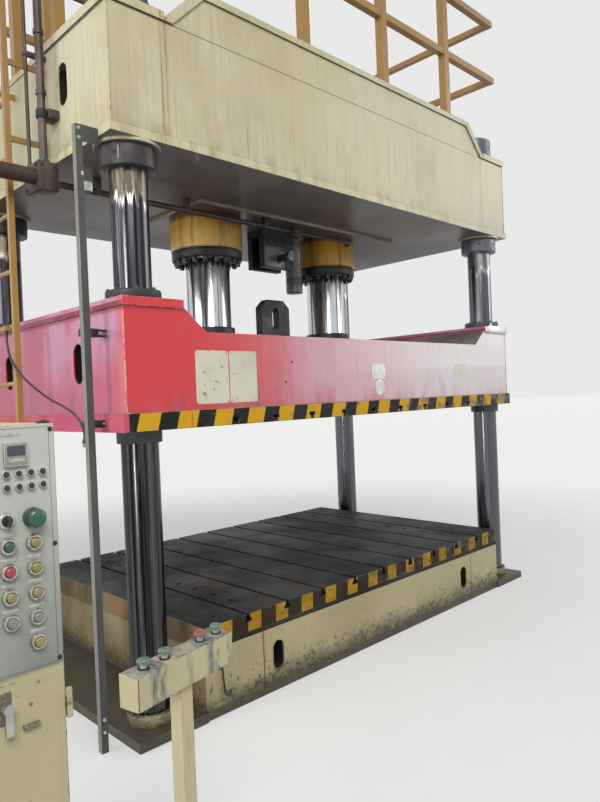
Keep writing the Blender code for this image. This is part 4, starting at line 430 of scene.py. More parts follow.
def column_steel(brown_from):
    """Polished column under a film of oil, rubbed dirty just below the top nut, with painted highlight streaks and a
    painted bluish daylight haze at the right of the press.
    """
    look = Look("column_oiled", 0.16, 1.0, edge=0.002)
    streak = look.noise(4, (9, 9, 0.1), 6, 0.62)
    look.colour = look.mix(look.span(streak, 0.4, 0.66), COLUMN_DARK, COLUMN_STEEL)
    look.tint((0.075, 0.055, 0.09), look.blots((0.54, 0.7, 0, 0.6), 9, (5, 5, 0.08)), look.span(look.z, 1.4, 2.2))
    # Painted highlight: pale vertical glint streaks.
    look.tint((0.26, 0.255, 0.26), look.blots((0.6, 0.72, 0, 0.6), 26, (4, 4, 0.07), 3))
    look.tint((0.07, 0.072, 0.066), look.span(look.z, 1.55, 1.35), look.blots((0.36, 0.6), 5, (4, 4, 0.1)), 0.6)
    height = look.add(look.z, look.sway(streak, 0.34))
    upper = look.span(height, brown_from - 0.02, brown_from + 0.03)
    look.tint(look.mix(look.blots((0.4, 0.62), 7, (6, 6, 0.5), 6, 0.7), (0.06, 0.05, 0.04), (0.24, 0.2, 0.16)), upper)
    look.tint((0.56, 0.545, 0.52), look.span(height, brown_from - 0.035, brown_from - 0.005),
              look.span(height, brown_from + 0.03, brown_from + 0.01), look.blots((0.42, 0.58), 9, (2, 2, 1)))
    # Painted light: a bluish daylight haze towards the right of the press.
    look.tint((0.22, 0.232, 0.26), look.span(look.x, 1, 1.6, 0, 0.4))
    look.bump(look.noise(160, (1, 1, 0.2), 2), 0.03, 0.001)
    return look.done(look.add(look.blots((0.35, 0.7, 0.12, 0.34), 6, (3, 3, 0.3), 5), look.both(upper, 0.16)))


def plunger_chrome(collar_top):
    """Bright plunger with dark runs of oil, and a blackened collar at its foot."""
    look = Look("plunger_chrome", 0.08, 1.0, edge=0.002)
    streak = look.noise(5, (9, 9, 0.07), 6, 0.65)
    look.colour = look.mix(look.span(streak, 0.49, 0.6), CHROME, CHROME_SHADE)
    look.tint((0.72, 0.72, 0.73), look.blots((0.52, 0.64), 8, (7, 7, 0.08)), 0.8)
    look.tint((0.17, 0.14, 0.12), look.blots((0.59, 0.68, 0, 0.7), 13, (6, 6, 0.1)))
    collar = look.span(look.z, collar_top + 0.002, collar_top - 0.002)
    look.tint(look.mix(look.noise(14), BUSH_STEEL, DARK_STEEL), collar)
    return look.done(look.add(look.span(streak, 0.4, 0.65, 0.1, 0.26), look.both(collar, 0.28)))


def dark_steel(name, base, worn, metallic=0.35, roughness=0.45, scale=10.0, daylight_haze=0.0):
    """Blackened steel, worn bright at its edges, with as much painted bluish daylight haze at the right of the press
    as asked.
    """
    look = Look(name, roughness, metallic, edge=0.002)
    cloud = look.noise(scale, detail=6, roughness=0.62)
    look.colour = look.mix(look.span(cloud, 0.45, 0.75, 0, 0.6), base, worn)
    look.tint((0.085, 0.07, 0.062), look.blots((0.5, 0.72, 0, 0.35), scale * 0.4, (1, 1, 0.4)))
    # Painted light: a bluish daylight haze towards the right of the press.
    if daylight_haze:
        look.tint((0.165, 0.18, 0.215), look.span(look.x, 1, 1.6, 0, daylight_haze))
    look.tint(worn, look.edge_wear(0.003), look.blots((0.46, 0.6), 45))
    look.bump(look.noise(80, detail=3), 0.1, 0.002)
    return look.done(look.span(cloud, 0.3, 0.7, roughness + 0.1, roughness - 0.08))


def worn_paint(name, base, pale, under, roughness=0.45, scale=6.0, wear=0.004, side=None):
    """Painted steel section, faded in patches and chipped along its edges; a side colour gives painted light on the
    faces toward -X.
    """
    look = Look(name, roughness, coat=0.08, edge=0.0015)
    cloud = look.noise(scale, (1, 1, 0.4), 5)
    look.colour = look.mix(look.span(cloud, 0.38, 0.68), base, pale)
    # Painted light: faces toward -X take the lighter side colour.
    if side:
        look.tint(side, look.facing(0, -1, 0.3, 0.7), look.span(cloud, 0.3, 0.6, 0.65, 1))
    look.tint(under, look.blots((0.56, 0.76, 0, 0.55), 14, (6, 6, 0.35), 5, 0.6))
    look.tint(under, look.edge_wear(wear), look.blots((0.5, 0.6), 40))
    look.bump(look.noise(60, detail=3), 0.08, 0.003)
    return look.done(look.span(cloud, 0.3, 0.7, roughness + 0.08, roughness - 0.08))


def ochre_paint():
    """Ochre cylinder paint with long brown oil runs, paler orange patches of painted highlight, and darker in a band
    at its top.
    """
    look = Look("ochre_paint_stained", 0.34, coat=0.3, edge=0.003)
    look.colour = look.mix(look.blots((0.35, 0.65), 2.5), OCHRE, OCHRE_PALE)
    streak = look.noise(3.4, (4, 4, 0.35), 7, 0.66)
    look.tint(OCHRE_STAIN, look.span(streak, 0.48, 0.72, 0, 0.85))
    look.tint(OCHRE_STAIN, look.blots((0.58, 0.74, 0, 0.45), 22, (5, 5, 0.25)))
    # Painted highlight: paler orange patches.
    look.tint((0.7, 0.45, 0.2), look.blots((0.58, 0.7, 0, 0.6), 5, (2, 2, 0.6), 3))
    # Darker in a band at the top of the barrel.
    look.tint(OCHRE_STAIN, look.span(look.add(look.z, look.both(streak, 0.04)), 2.925, 2.955, 0, 0.8))
    look.bump(look.noise(50, detail=3), 0.06, 0.003)
    return look.done(look.span(streak, 0.4, 0.65, 0.42, 0.26))


def panel_paint():
    """Pale grey panel paint with painted shade towards its foot, dirtier where hands reach for the buttons."""
    look = Look("panel_paint", 0.4, coat=0.12)
    cloud = look.noise(4, detail=5)
    # Painted shade: darker towards the foot of the panel.
    low = look.span(look.z, 1.56, 1.16)
    look.colour = look.mix(look.both(low, look.span(cloud, 0.3, 0.7, 0.5, 1)), PANEL, PANEL_SHADE)
    look.tint((0.25, 0.255, 0.205), look.blots((0.54, 0.7, 0, 0.4), 16, detail=6, roughness=0.7))
    for x in (-2.957, -3.008):
        look.tint((0.3, 0.3, 0.25), look.within(look.x, x - 0.02, x + 0.02, 0.012),
                  look.within(look.z, 1.19, 1.43, 0.02), look.blots((0.4, 0.62, 0, 0.45), 22, detail=5))
    look.tint(GRIME, look.blots((0.68, 0.74, 0, 0.7), 130, detail=2))
    look.bump(look.noise(180, detail=2), 0.04, 0.001)
    return look.done(look.span(cloud, 0.3, 0.7, 0.34, 0.48))


def stand_extras(look, wall):
    """The stand's box rubbed to bare metal on its top and in patches on its face."""
    bare = look.mix(look.blots((0.4, 0.65), 18, detail=5), (0.2, 0.195, 0.17), BARE_METAL)
    look.tint(bare, look.facing(2, 1), look.span(look.z, 0.8, 0.85),
              look.blots((0.36, 0.5), 7, detail=6, roughness=0.68))
    look.tint(bare, look.blots((0.56, 0.63), 8, (1.6, 1.6, 0.5), 5, 0.6), look.within(look.z, 0.78, 0.885, 0.01),
              look.facing(1, -1), 0.6)
    cos, sin = math.cos(STAND_TURN), math.sin(STAND_TURN)
    along = look.add(look.both(look.x, cos), look.both(look.y, sin))
    along = look.add(along, -STAND_CORNER[0] * cos - STAND_CORNER[1] * sin)
    sooty = look.mix(look.blots((0.42, 0.6), 30, (2, 2, 0.4), 6, 0.7), (0.075, 0.078, 0.076), (0.33, 0.33, 0.31))
    for begin, end in ((0.05, 0.122), (0.298, 0.356)):
        look.tint(sooty, look.span(along, begin - 0.008, begin + 0.01), look.span(along, end + 0.008, end - 0.01),
                  look.within(look.z, 0.78, 0.886, 0.001),
                  look.blots((0.38, 0.5, 0, 0.85), 16, (1.5, 1.5, 0.6), 6, 0.7))
    look.tint(GRIME, look.span(along, 0.0055, 0.0015), look.within(look.z, 0.784, 0.88, 0.001), look.facing(1, -1),
              look.blots((0.3, 0.45, 0.3, 0.95), 20))
    look.tint(RUST, look.within(look.z, 0, 0.76, 0.01), look.blots((0.56, 0.68, 0, 0.7), 9, (2, 2, 0.35), 5))


def plastic(name, colour, roughness=0.3, coat=0.3, glow=0.0):
    """Moulded plastic with a little grease and fine scratches."""
    look = Look(name, roughness, coat=coat)
    look.shader.inputs["Transmission Weight"].default_value = glow
    dull = tuple(0.55 * c + 0.04 for c in colour)
    look.colour = look.mix(look.blots((0.45, 0.68, 0, 0.75), 90), colour, dull)
    look.bump(look.noise(600, detail=2), 0.05, 0.0004)
    return look.done(look.blots((0.35, 0.7, roughness - 0.08, roughness + 0.18), 160, detail=3))


def sheet_metal(name, colour, dull, metallic=0.6, roughness=0.36, scale=30.0):
    """A small plate or turned fitting with scratches and fingermarks."""
    look = Look(name, roughness, metallic, edge=0.0006)
    look.colour = look.mix(look.blots((0.42, 0.66), scale, detail=5, roughness=0.65), colour, dull)
    look.tint(GRIME, look.blots((0.62, 0.7, 0, 0.6), scale * 5, detail=3))
    look.bump(look.noise(scale * 6, (1, 1, 0.3), 2), 0.05, 0.0006)
    return look.done(look.blots((0.3, 0.7, roughness - 0.08, roughness + 0.14), scale * 2))


def rubber():
    look = Look("rubber_sheath")
    look.colour = look.mix(look.blots((0.4, 0.7), 30), (0.014, 0.011, 0.013), (0.036, 0.03, 0.032))
    look.bump(look.noise(300, detail=2), 0.08, 0.0006)
    return look.done(look.blots((0.35, 0.7, 0.38, 0.6), 60, detail=3))


def seen_directly(tree):
    """1 for rays from the camera, mirrors and glass, 0 for light that falls on the object."""
    path = tree.nodes.new("ShaderNodeLightPath")
    total = path.outputs["Is Camera Ray"]
    for other in ("Is Glossy Ray", "Is Transmission Ray"):
        node = tree.nodes.new("ShaderNodeMath")
        node.operation = "MAXIMUM"
        tree.links.new(total, node.inputs[0])
        tree.links.new(path.outputs[other], node.inputs[1])
        total = node.outputs[0]
    return total


def floor_look():
    """Pale floor that keeps the shadows near the press and meets the backdrop in its own tone."""
    look = Look("floor_pale", 0.85, specular=0.2)
    reach = look.math("SQRT", look.add(look.both(look.x, look.x), look.both(look.y, look.y)))
    look.colour = look.mix(look.blots((0.3, 0.7), 0.8, detail=3), FLOOR, tuple(0.96 * c for c in FLOOR))
    look.tint((0, 0, 0), look.span(reach, 3, 8))
    look.feed(look.shader.inputs["Emission Color"], BACKDROP)
    look.feed(look.shader.inputs["Emission Strength"],
              look.both(look.span(reach, 3, 8, 0.3, 1), seen_directly(look.tree)))
    return look.done()


# Mesh helpers

def link_mesh(name, bm, material, smooth=True):
    bmesh.ops.recalc_face_normals(bm, faces=bm.faces)
    mesh = bpy.data.meshes.new(name)
    bm.to_mesh(mesh)
    bm.free()
    if smooth:
        mesh.shade_smooth()
        mesh.set_sharp_from_angle(angle=math.radians(40))
    mesh.materials.append(material)
    made = bpy.data.objects.new(name, mesh)
    bpy.context.scene.collection.objects.link(made)
    return made


def circle(sides):
    return [2 * math.pi * i / sides for i in range(sides)]


def rings_of(bm, profile, centre, direction, sides):
    turn = Vector(direction).normalized().to_track_quat("Z", "Y").to_matrix().to_4x4()
    place = Matrix.Translation(centre) @ turn
    return [[bm.verts.new(place @ Vector((radius * math.cos(t), radius * math.sin(t), height)))
             for t in circle(sides)] for radius, height in profile]


def bridge(bm, rings, capped=False):
    for low, high in zip(rings, rings[1:]):
        for i in range(len(low)):
            j = (i + 1) % len(low)
            bm.faces.new((low[i], low[j], high[j], high[i]))
    if capped:
        bm.faces.new(rings[0])
        bm.faces.new(rings[-1])


def turned(bm, profile, centre, direction=UP, sides=FINE):
    """A solid of revolution about a direction: profile points are (radius, height)."""
    bridge(bm, rings_of(bm, profile, centre, direction, sides), capped=True)


def ring_solid(bm, profile, centre, direction=UP, sides=FINE):
    """A hollow solid of revolution from a closed loop of (radius, height) points."""
    rings = rings_of(bm, profile, centre, direction, sides)
    bridge(bm, rings + rings[:1])


def stud(bm, wall, rim, centre, direction, sides):
    """A short round plug whose wall and chamfered rim each end at a (radius, height)."""
    turned(bm, [(wall[0], 0.0), wall, rim], centre, direction, sides)


def hex_bolt(bm, centre, direction, across, height):
    """A bolt head with a washer and a chamfered top."""
    r = across / 2 / math.cos(math.pi / 6)
    turned(bm, [(r * 1.12, -0.001), (r * 1.16, 0.0005), (r * 1.12, height * 0.18)], centre, direction, 16)
    turned(bm, [(r, height * 0.1), (r, height * 0.82), (r * 0.86, height)], centre, direction, 6)


def cap_screw(bm, centre, direction, radius, height):
    """A socket cap screw with a sunk socket."""
    turned(bm, [(radius, -0.001), (radius, height * 0.86), (radius * 0.9, height), (radius * 0.55, height),
                (radius * 0.5, height * 0.5)], centre, direction, 16)


def around(centre, radius, count, phase=0.5):
    """Places spaced evenly round an upright axis."""
    x, y, z = centre
    for i in range(count):
        angle = 2 * math.pi * (i + phase) / count
        yield x + radius * math.cos(angle), y + radius * math.sin(angle), z


def outward(degrees):
    angle = math.radians(degrees)
    return Vector((math.cos(angle), math.sin(angle), 0))


def soft_box(bm, low, high, bevel, upright_only=False, place=None):
    """A box with bevelled edges, or with only the edges along its thin side rounded."""
    part = bmesh.new()
    bmesh.ops.create_cube(part, size=1.0)
    low, high = Vector(low), Vector(high)
    size = high - low
    for v in part.verts:
        v.co = Vector([v.co[i] * size[i] for i in range(3)]) + (low + high) / 2
    edges = part.edges[:]
    if upright_only:
        thin = min(range(3), key=lambda i: size[i])
        edges = [e for e in edges if abs((e.verts[0].co - e.verts[1].co)[thin]) > 1e-7]
    bmesh.ops.bevel(part, geom=edges, offset=bevel, segments=4 if upright_only else 2, profile=0.5,
                    affect="EDGES")
    if place:
        part.transform(place)
    seen = {v: bm.verts.new(v.co) for v in part.verts}
    for face in part.faces:
        bm.faces.new([seen[v] for v in face.verts])
    part.free()


def swept(bm, points, radius, sides):
    """A round tube along a line of points."""
    points = [Vector(p) for p in points]
    normal = (points[1] - points[0]).orthogonal().normalized()
    rings = []
    for i, point in enumerate(points):
        direction = (points[min(i + 1, len(points) - 1)] - points[max(i - 1, 0)]).normalized()
        normal = (normal - direction * normal.dot(direction)).normalized()
        side = direction.cross(normal)
        rings.append([bm.verts.new(point + (normal * math.cos(t) + side * math.sin(t)) * radius)
                      for t in circle(sides)])
    bridge(bm, rings, capped=True)


def bent(corners, radius, steps=8):
    """Points along straight runs whose corners are round bends."""
    corners = [Vector(c) for c in corners]
    made = [corners[0]]
    for before, corner, after in zip(corners, corners[1:], corners[2:]):
        start = corner + (before - corner).normalized() * radius
        end = corner + (after - corner).normalized() * radius
        centre = start + (after - corner).normalized() * radius
        a, b = start - centre, end - centre
        made += [centre + a * math.cos(t) + b * math.sin(t)
                 for t in (math.pi / 2 * k / steps for k in range(steps + 1))]
    return made + [corners[-1]]


def oval_rim(bm, centre, direction, radius, straight):
    """A smooth thin-edged rim just inside an upright oval opening, 14 mm deep."""
    out = Vector(direction)
    across = Vector((-out.y, out.x, 0))
    inner = radius * 0.925
    loops = [[bm.verts.new(Vector(centre) + out * lift + across * (r * math.cos(t))
                           + Vector((0, 0, r * math.sin(t) + (straight if math.sin(t) >= 0 else -straight))))
              for t in circle(48)]
             for r, lift in ((radius + 0.003, -0.0005), (radius + 0.003, 0.0006), (inner, 0.0006), (inner, -0.014),
                             (inner + 0.002, -0.014), (inner + 0.002, -0.0005))]
    bridge(bm, loops + loops[:1])


def weld_bead(bm, points, radius):
    """A rippled fillet along a path."""
    points = [Vector(p) for p in points]
    for a, b in zip(points, points[1:]):
        direction = (b - a).normalized()
        side = direction.orthogonal().normalized()
        up = direction.cross(side)
        steps = max(2, int((b - a).length / (radius * 1.1)))
        rings = []
        for k in range(steps):
            swell = radius * (1.0 if k % 2 else 0.8)
            centre = a.lerp(b, k / (steps - 1))
            rings.append([bm.verts.new(centre + (side * math.cos(t) + up * math.sin(t)) * swell)
                          for t in (math.pi / 3 * i for i in range(6))])
        bridge(bm, rings, capped=True)


def piece(name, bm, look, body, slot, *replaced):
    made = link_mesh(name, bm, looks[look])
    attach(made, body)
    if replaced:
        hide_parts(*replaced)
    return made


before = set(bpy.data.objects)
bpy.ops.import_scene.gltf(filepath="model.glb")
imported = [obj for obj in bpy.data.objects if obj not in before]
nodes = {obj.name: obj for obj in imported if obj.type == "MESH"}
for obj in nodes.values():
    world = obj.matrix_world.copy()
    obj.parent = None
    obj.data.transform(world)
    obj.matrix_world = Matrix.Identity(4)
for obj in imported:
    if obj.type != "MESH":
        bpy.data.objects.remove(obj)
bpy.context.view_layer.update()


def span_of(node):
    low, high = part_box(node)
    return low, high, (low + high) / 2


def set_camera():
    forward = Vector((math.cos(CAMERA_YAW) * math.cos(CAMERA_PITCH),
                      math.sin(CAMERA_YAW) * math.cos(CAMERA_PITCH), math.sin(CAMERA_PITCH)))
    level = Vector((math.sin(CAMERA_YAW), -math.cos(CAMERA_YAW), 0))
    upright = level.cross(forward)
    right = level * math.cos(CAMERA_ROLL) + upright * math.sin(CAMERA_ROLL)
    up = upright * math.cos(CAMERA_ROLL) - level * math.sin(CAMERA_ROLL)
    data = bpy.data.cameras.new("camera")
    data.sensor_fit = "HORIZONTAL"
    data.sensor_width = SENSOR_WIDTH
    data.lens = FOCAL_PIXELS / IMAGE_WIDTH * SENSOR_WIDTH
    data.clip_start = 0.05
    data.clip_end = 200
    camera = bpy.data.objects.new("camera", data)
    turn = Matrix((right, up, -forward)).transposed().to_4x4()
    camera.matrix_world = Matrix.Translation(CAMERA_PLACE) @ turn
    bpy.context.scene.collection.objects.link(camera)
    bpy.context.scene.camera = camera


def area_light(name, place, aim, size, power, colour, spread=180):
    data = bpy.data.lights.new(name, "AREA")
    data.shape = "RECTANGLE"
    data.size, data.size_y = size
    data.energy = power
    data.color = colour
    data.spread = math.radians(spread)
    lamp = bpy.data.objects.new(name, data)
    lamp.location = place
    lamp.rotation_euler = (Vector(aim) - Vector(place)).to_track_quat("-Z", "Y").to_euler()
    bpy.context.scene.collection.objects.link(lamp)


def set_stage():
    floor = bmesh.new()
    corners = [(-90, -90), (90, -90), (90, 90), (-90, 90)]
    floor.faces.new([floor.verts.new((x, y, -0.001)) for x, y in corners])
    link_mesh("floor", floor, floor_look(), smooth=False)

    world = bpy.data.worlds.new("studio")
    world.use_nodes = True
    tree = world.node_tree
    seen = tree.nodes.new("ShaderNodeMix")
    seen.data_type = "RGBA"
    tree.links.new(seen_directly(tree), seen.inputs[0])
    seen.inputs[6].default_value = (*SKY, 1)
    seen.inputs[7].default_value = (*BACKDROP, 1)
    tree.links.new(seen.outputs[2], tree.nodes["Background"].inputs["Color"])
    bpy.context.scene.world = world
    area_light("key", (-5.5, -7.5, 7.5), (0, 0, 2.3), (5.0, 4.0), 560, (1.0, 0.98, 0.94))
    area_light("left_fill", (-8.5, 1.0, 4.5), (-1.5, 0, 2.2), (5.0, 5.0), 260, (0.95, 0.97, 1.0))
    area_light("right_fill", (7.0, -5.0, 4.5), (0.5, 0, 2.2), (4.0, 5.0), 220, (0.96, 0.98, 1.0))
    area_light("column_strip", (-4.97, -2.1, 1.95), (-COLUMN_X, -COLUMN_Y, 1.95), (0.4, 3.0), 9, (1.0, 0.99, 0.94),
               60)
    bpy.context.scene.view_settings.view_transform = "Standard"


def make_looks():
    plate_low, plate_high, _ = span_of("slide_plate")
    bolster_low, bolster_high, _ = span_of("bolster")
    crown_low, crown_high, _ = span_of("crown")
    collar_top = span_of("plunger_left")[0].z + 0.145
    nut_low = span_of("lower_nut_front_left")[0].z
    pale = (CREAM, CREAM_PALE)
    return {
        "crown": cream_paint("cream_crown", 0.1, 0.85, pale, (crown_low.z, crown_high.z), crown_extras),
        "boss": cream_paint("cream_boss", 0.2, 0.4, ((0.52, 0.47, 0.32), CREAM_PALE), (2.9, 3)),
        # The bed's cream is darker than the rest: partly dirt, partly painted shade.
        "bed": cream_paint("cream_bed", 0.8, 0.7, ((0.37, 0.318, 0.172), (0.45, 0.4, 0.24)), (0, 0.42), bed_extras),
        "cabinet": cream_paint("cream_cabinet", 0.35, 0.35, pale, (0, CABINET_TOP), cabinet_extras),
        "door": cream_paint("cream_door", 0.45, 0.5, (CREAM, (0.52, 0.47, 0.29)), (0, 1.15)),
        "stand": cream_paint("cream_stand", 0.5, 0.35, (CREAM, (0.58, 0.545, 0.36)), (0, 0.9), stand_extras),
        "slide": red_paint(),
        "slide_plate": steel_plate("slide_plate_band", (DARK_STEEL, WORN_STEEL),
                                   (-1.8, 0.2325, 0.28, plate_high.z, plate_low.z, 0.53), plate_low.y,
                                   (-0.9, 1.6, 0.16), 0.08, (-1.86, plate_low.x, MAGENTA, ROSE)),
        # The bolster's top wears near-black steel: partly painted shade.
        "bolster": steel_plate("bolster_band", (BOLSTER_STEEL_SHADED, (0.038, 0.037, 0.037)),
                               (-1.407, 0.207, 0.05, bolster_high.z, bolster_high.z - 0.098, 0.47), bolster_low.y,
                               (-1.3, 0.6, 0.13), 0.62,
                               (-1.412, bolster_low.x, (0.25, 0.17, 0.085), (0.11, 0.085, 0.05))),
        "panel": panel_paint(),
        "rail": worn_paint("rail_paint", RAIL_DARK, (0.075, 0.078, 0.07), GRIME, 0.5, 5, side=RAIL_LIT_SIDE),
        "column": column_steel(nut_low - 0.15),
        "plunger": plunger_chrome(collar_top),
        "nut": dark_steel("nut_steel", NUT_STEEL, NUT_WORN, 0.35, 0.42, 6, 0.75),
        "bush": dark_steel("bush_steel", BUSH_STEEL, NUT_WORN, 0.35, 0.45, 8, 0.3),
        "gland": dark_steel("gland_steel", (0.022, 0.023, 0.028), DARK_STEEL, 0.35, 0.42, 8),
        "ochre": ochre_paint(),
        # Ladder and guard rail: paler on faces toward -X as painted light.
        "yellow": worn_paint("yellow_paint_worn", YELLOW, YELLOW_PALE, RUST, 0.42, 5, side=YELLOW_PALE),
        "pipe": worn_paint("pipe_paint", PIPE_BROWN, PIPE_PALE, BLACK, 0.52, 9, 0.003),
        "casting": dark_steel("lock_steel", (0.024, 0.024, 0.03), NUT_WORN, 0.3, 0.5, 7),
        "lock_face": worn_paint("lock_face_paint", (0.25, 0.26, 0.32), (0.33, 0.345, 0.4), GRIME),
        "ram": worn_paint("ram_paint", (0.18, 0.172, 0.16), (0.29, 0.285, 0.275), GRIME, 0.34, 5),
        "pin": dark_steel("pin_steel", (0.085, 0.085, 0.09), (0.3, 0.3, 0.3), 0.8, 0.34, 20),
        "bright": dark_steel("bright_steel", (0.42, 0.42, 0.41), (0.6, 0.6, 0.59), 0.9, 0.28, 20),
        "bezel": sheet_metal("button_bezel", (0.6, 0.58, 0.5), (0.33, 0.31, 0.24), 0.9, 0.24, 120),
        "plate": sheet_metal("bare_plate", PLATE_WHITE, (0.56, 0.535, 0.415), 0.0, 0.42, 5),
        "latch": sheet_metal("latch_steel", (0.15, 0.13, 0.1), (0.34, 0.31, 0.24), 0.3, 0.45, 50),
        "name_plate": sheet_metal("name_plate", (0.48, 0.49, 0.48), (0.64, 0.64, 0.62), 0.4, 0.34, 40),
        "meter": sheet_metal("meter_case", (0.4, 0.39, 0.33), (0.3, 0.29, 0.24), 0.0, 0.45, 60),
        "display": plastic("meter_display", (0.045, 0.055, 0.08), 0.12, 0.6),
        "strip": plastic("label_strip", (0.56, 0.56, 0.52), 0.4, 0.1),
        "border": plastic("panel_border", (0.12, 0.12, 0.115), 0.5, 0),
        "hole": plastic("dark_hole", (0.006, 0.006, 0.007), 0.7, 0),
        "chalk": plastic("chalk_line", (0.52, 0.51, 0.5), 0.8, 0),
        "green": plastic("button_green", (0.028, 0.115, 0.075)),
        "red": plastic("button_red", (0.42, 0.06, 0.075)),
        "amber": plastic("button_amber", (0.33, 0.27, 0.105), 0.25),
        "grey": plastic("button_grey", (0.25, 0.265, 0.245)),
        "black": plastic("switch_black", BLACK, 0.35),
        "mushroom_base": plastic("mushroom_base", (0.038, 0.07, 0.06), 0.5, 0.1),
        "palm_green": plastic("palm_green", (0.16, 0.33, 0.25), 0.22, 0.6, 0.25),
        "palm_red": plastic("palm_red", (0.43, 0.13, 0.14), 0.22, 0.6, 0.25),
        "palm_stem": plastic("palm_stem", (0.42, 0.48, 0.42), 0.35, 0.3),
        "rubber": rubber(),
    }


looks = make_looks()
# Which nodes wear a look, by the start of their names; the first that fits counts
NODE_LOOKS = {
    "crown": "crown", "bed": "bed", "door": "cabinet_door", "cabinet": "cabinet", "stand": "button_stand",
    "slide_plate": "slide_plate", "slide": "slide", "bolster": "bolster", "panel": "control_panel",
    "rail": "limit_rail", "rubber": "signal_cable", "column": "column_", "plunger": "plunger_",
    "nut": ("lower_nut", "upper_nut"), "bush": "guide_bush", "gland": "gland_", "ochre": "cylinder_",
    "yellow": ("ladder", "guard_rail"), "pipe": ("supply_pipe", "manifold", "cross_pipe"),
    "casting": ("lock_lug", "lock_bracket", "upper_arm", "lower_arm"), "bright": ("lock_pin", "door_handle"),
    "ram": "lock_ram", "black": "selector_switch", "green": "mushroom_button", "grey": "push_button",
    "palm_green": "palm_button",
}


def paint_nodes():
    """Give every CAD node its finished material."""
    for name, node in nodes.items():
        look = next(looks[key] for key, starts in NODE_LOOKS.items() if name.startswith(starts))
        for slot in node.material_slots:
            slot.material = look
        node.data.materials[0] = look


def add_columns():
    """Columns, nuts and boss rings turned smooth, with spanner holes in the nuts."""
    for corner, (x, y) in CORNERS.items():
        low, high, _ = span_of(f"column_{corner}")
        bm = bmesh.new()
        turned(bm, [(COLUMN_R - 0.005, low.z), (COLUMN_R, low.z + 0.005), (COLUMN_R, high.z - 0.006),
                    (COLUMN_R - 0.006, high.z)], (x, y, 0))
        piece(f"column_round_{corner}", bm, "column", ROOT, "oiled_column", f"column_{corner}")
        for kind in ("lower", "upper"):
            low, high, _ = span_of(f"{kind}_nut_{corner}")
            r = (high.x - low.x) / 2
            bm = bmesh.new()
            ring_solid(bm, [(COLUMN_R + 0.001, low.z), (r - 0.009, low.z), (r - 0.003, low.z + 0.003),
                            (r, low.z + 0.01), (r, high.z - 0.004), (r - 0.004, high.z),
                            (COLUMN_R + 0.002, high.z)], (x, y, 0))
            piece(f"{kind}_nut_round_{corner}", bm, "nut", ROOT, "blackened_steel", f"{kind}_nut_{corner}")
            # Dark discs stand in for the spanner holes: painted shade.
            holes = bmesh.new()
            for angle in NUT_HOLES:
                out = outward(angle)
                at = Vector((x, y, low.z + (high.z - low.z) * 0.55)) + out * (r - 0.004)
                stud(holes, (0.009, 0.0048), (0.008, 0.0053), at, out, 20)
            piece(f"{kind}_nut_holes_{corner}", holes, "hole", ROOT, "blackened_steel")
        bm = bmesh.new()
        foot, top = BOSS_RING
        ring_solid(bm, [(0.15, foot), (BOSS_R - 0.002, foot), (BOSS_R + 0.001, foot + 0.0023),
                        (BOSS_R + 0.001, top), (0.15, top)], (x, y, 0))
        piece(f"boss_ring_{corner}", bm, "boss", ROOT, "cream_paint")
    out = outward(CHALK_ANGLE)
    at = Vector((*CORNERS["front_left"], 0)) + out * 0.1466
    turn = Matrix(((-out.y, out.x, 0), out, UP)).transposed().to_4x4()
    bm = bmesh.new()
    soft_box(bm, (-0.0022, -0.0006, 2.874), (0.0022, 0.0009, 2.938), 0.0004, place=Matrix.Translation(at) @ turn)
    piece("chalk_line_nut", bm, "chalk", ROOT, "blackened_steel")


def add_bushes():
    """The slide's flanged bushes with their ring of screws."""
    inner = COLUMN_R + 0.001
    for corner, (x, y) in CORNERS.items():
        low, high, _ = span_of(f"guide_bush_{corner}")
        flange = high.z - 0.045
        bm = bmesh.new()
        ring_solid(bm, [(inner, low.z), (0.112, low.z), (0.115, low.z + 0.004), (0.115, flange), (0.139, flange),
                        (0.141, flange + 0.003), (0.141, high.z - 0.004), (0.137, high.z), (0.112, high.z),
                        (0.108, high.z - 0.003), (inner + 0.003, high.z - 0.003), (inner, high.z - 0.007)],
                   (x, y, 0))
        for at in around((x, y, high.z), 0.125, 8):
            cap_screw(bm, at, UP, 0.01, 0.011)
        piece(f"guide_bush_round_{corner}", bm, "bush", SLIDE, "blackened_steel", f"guide_bush_{corner}")


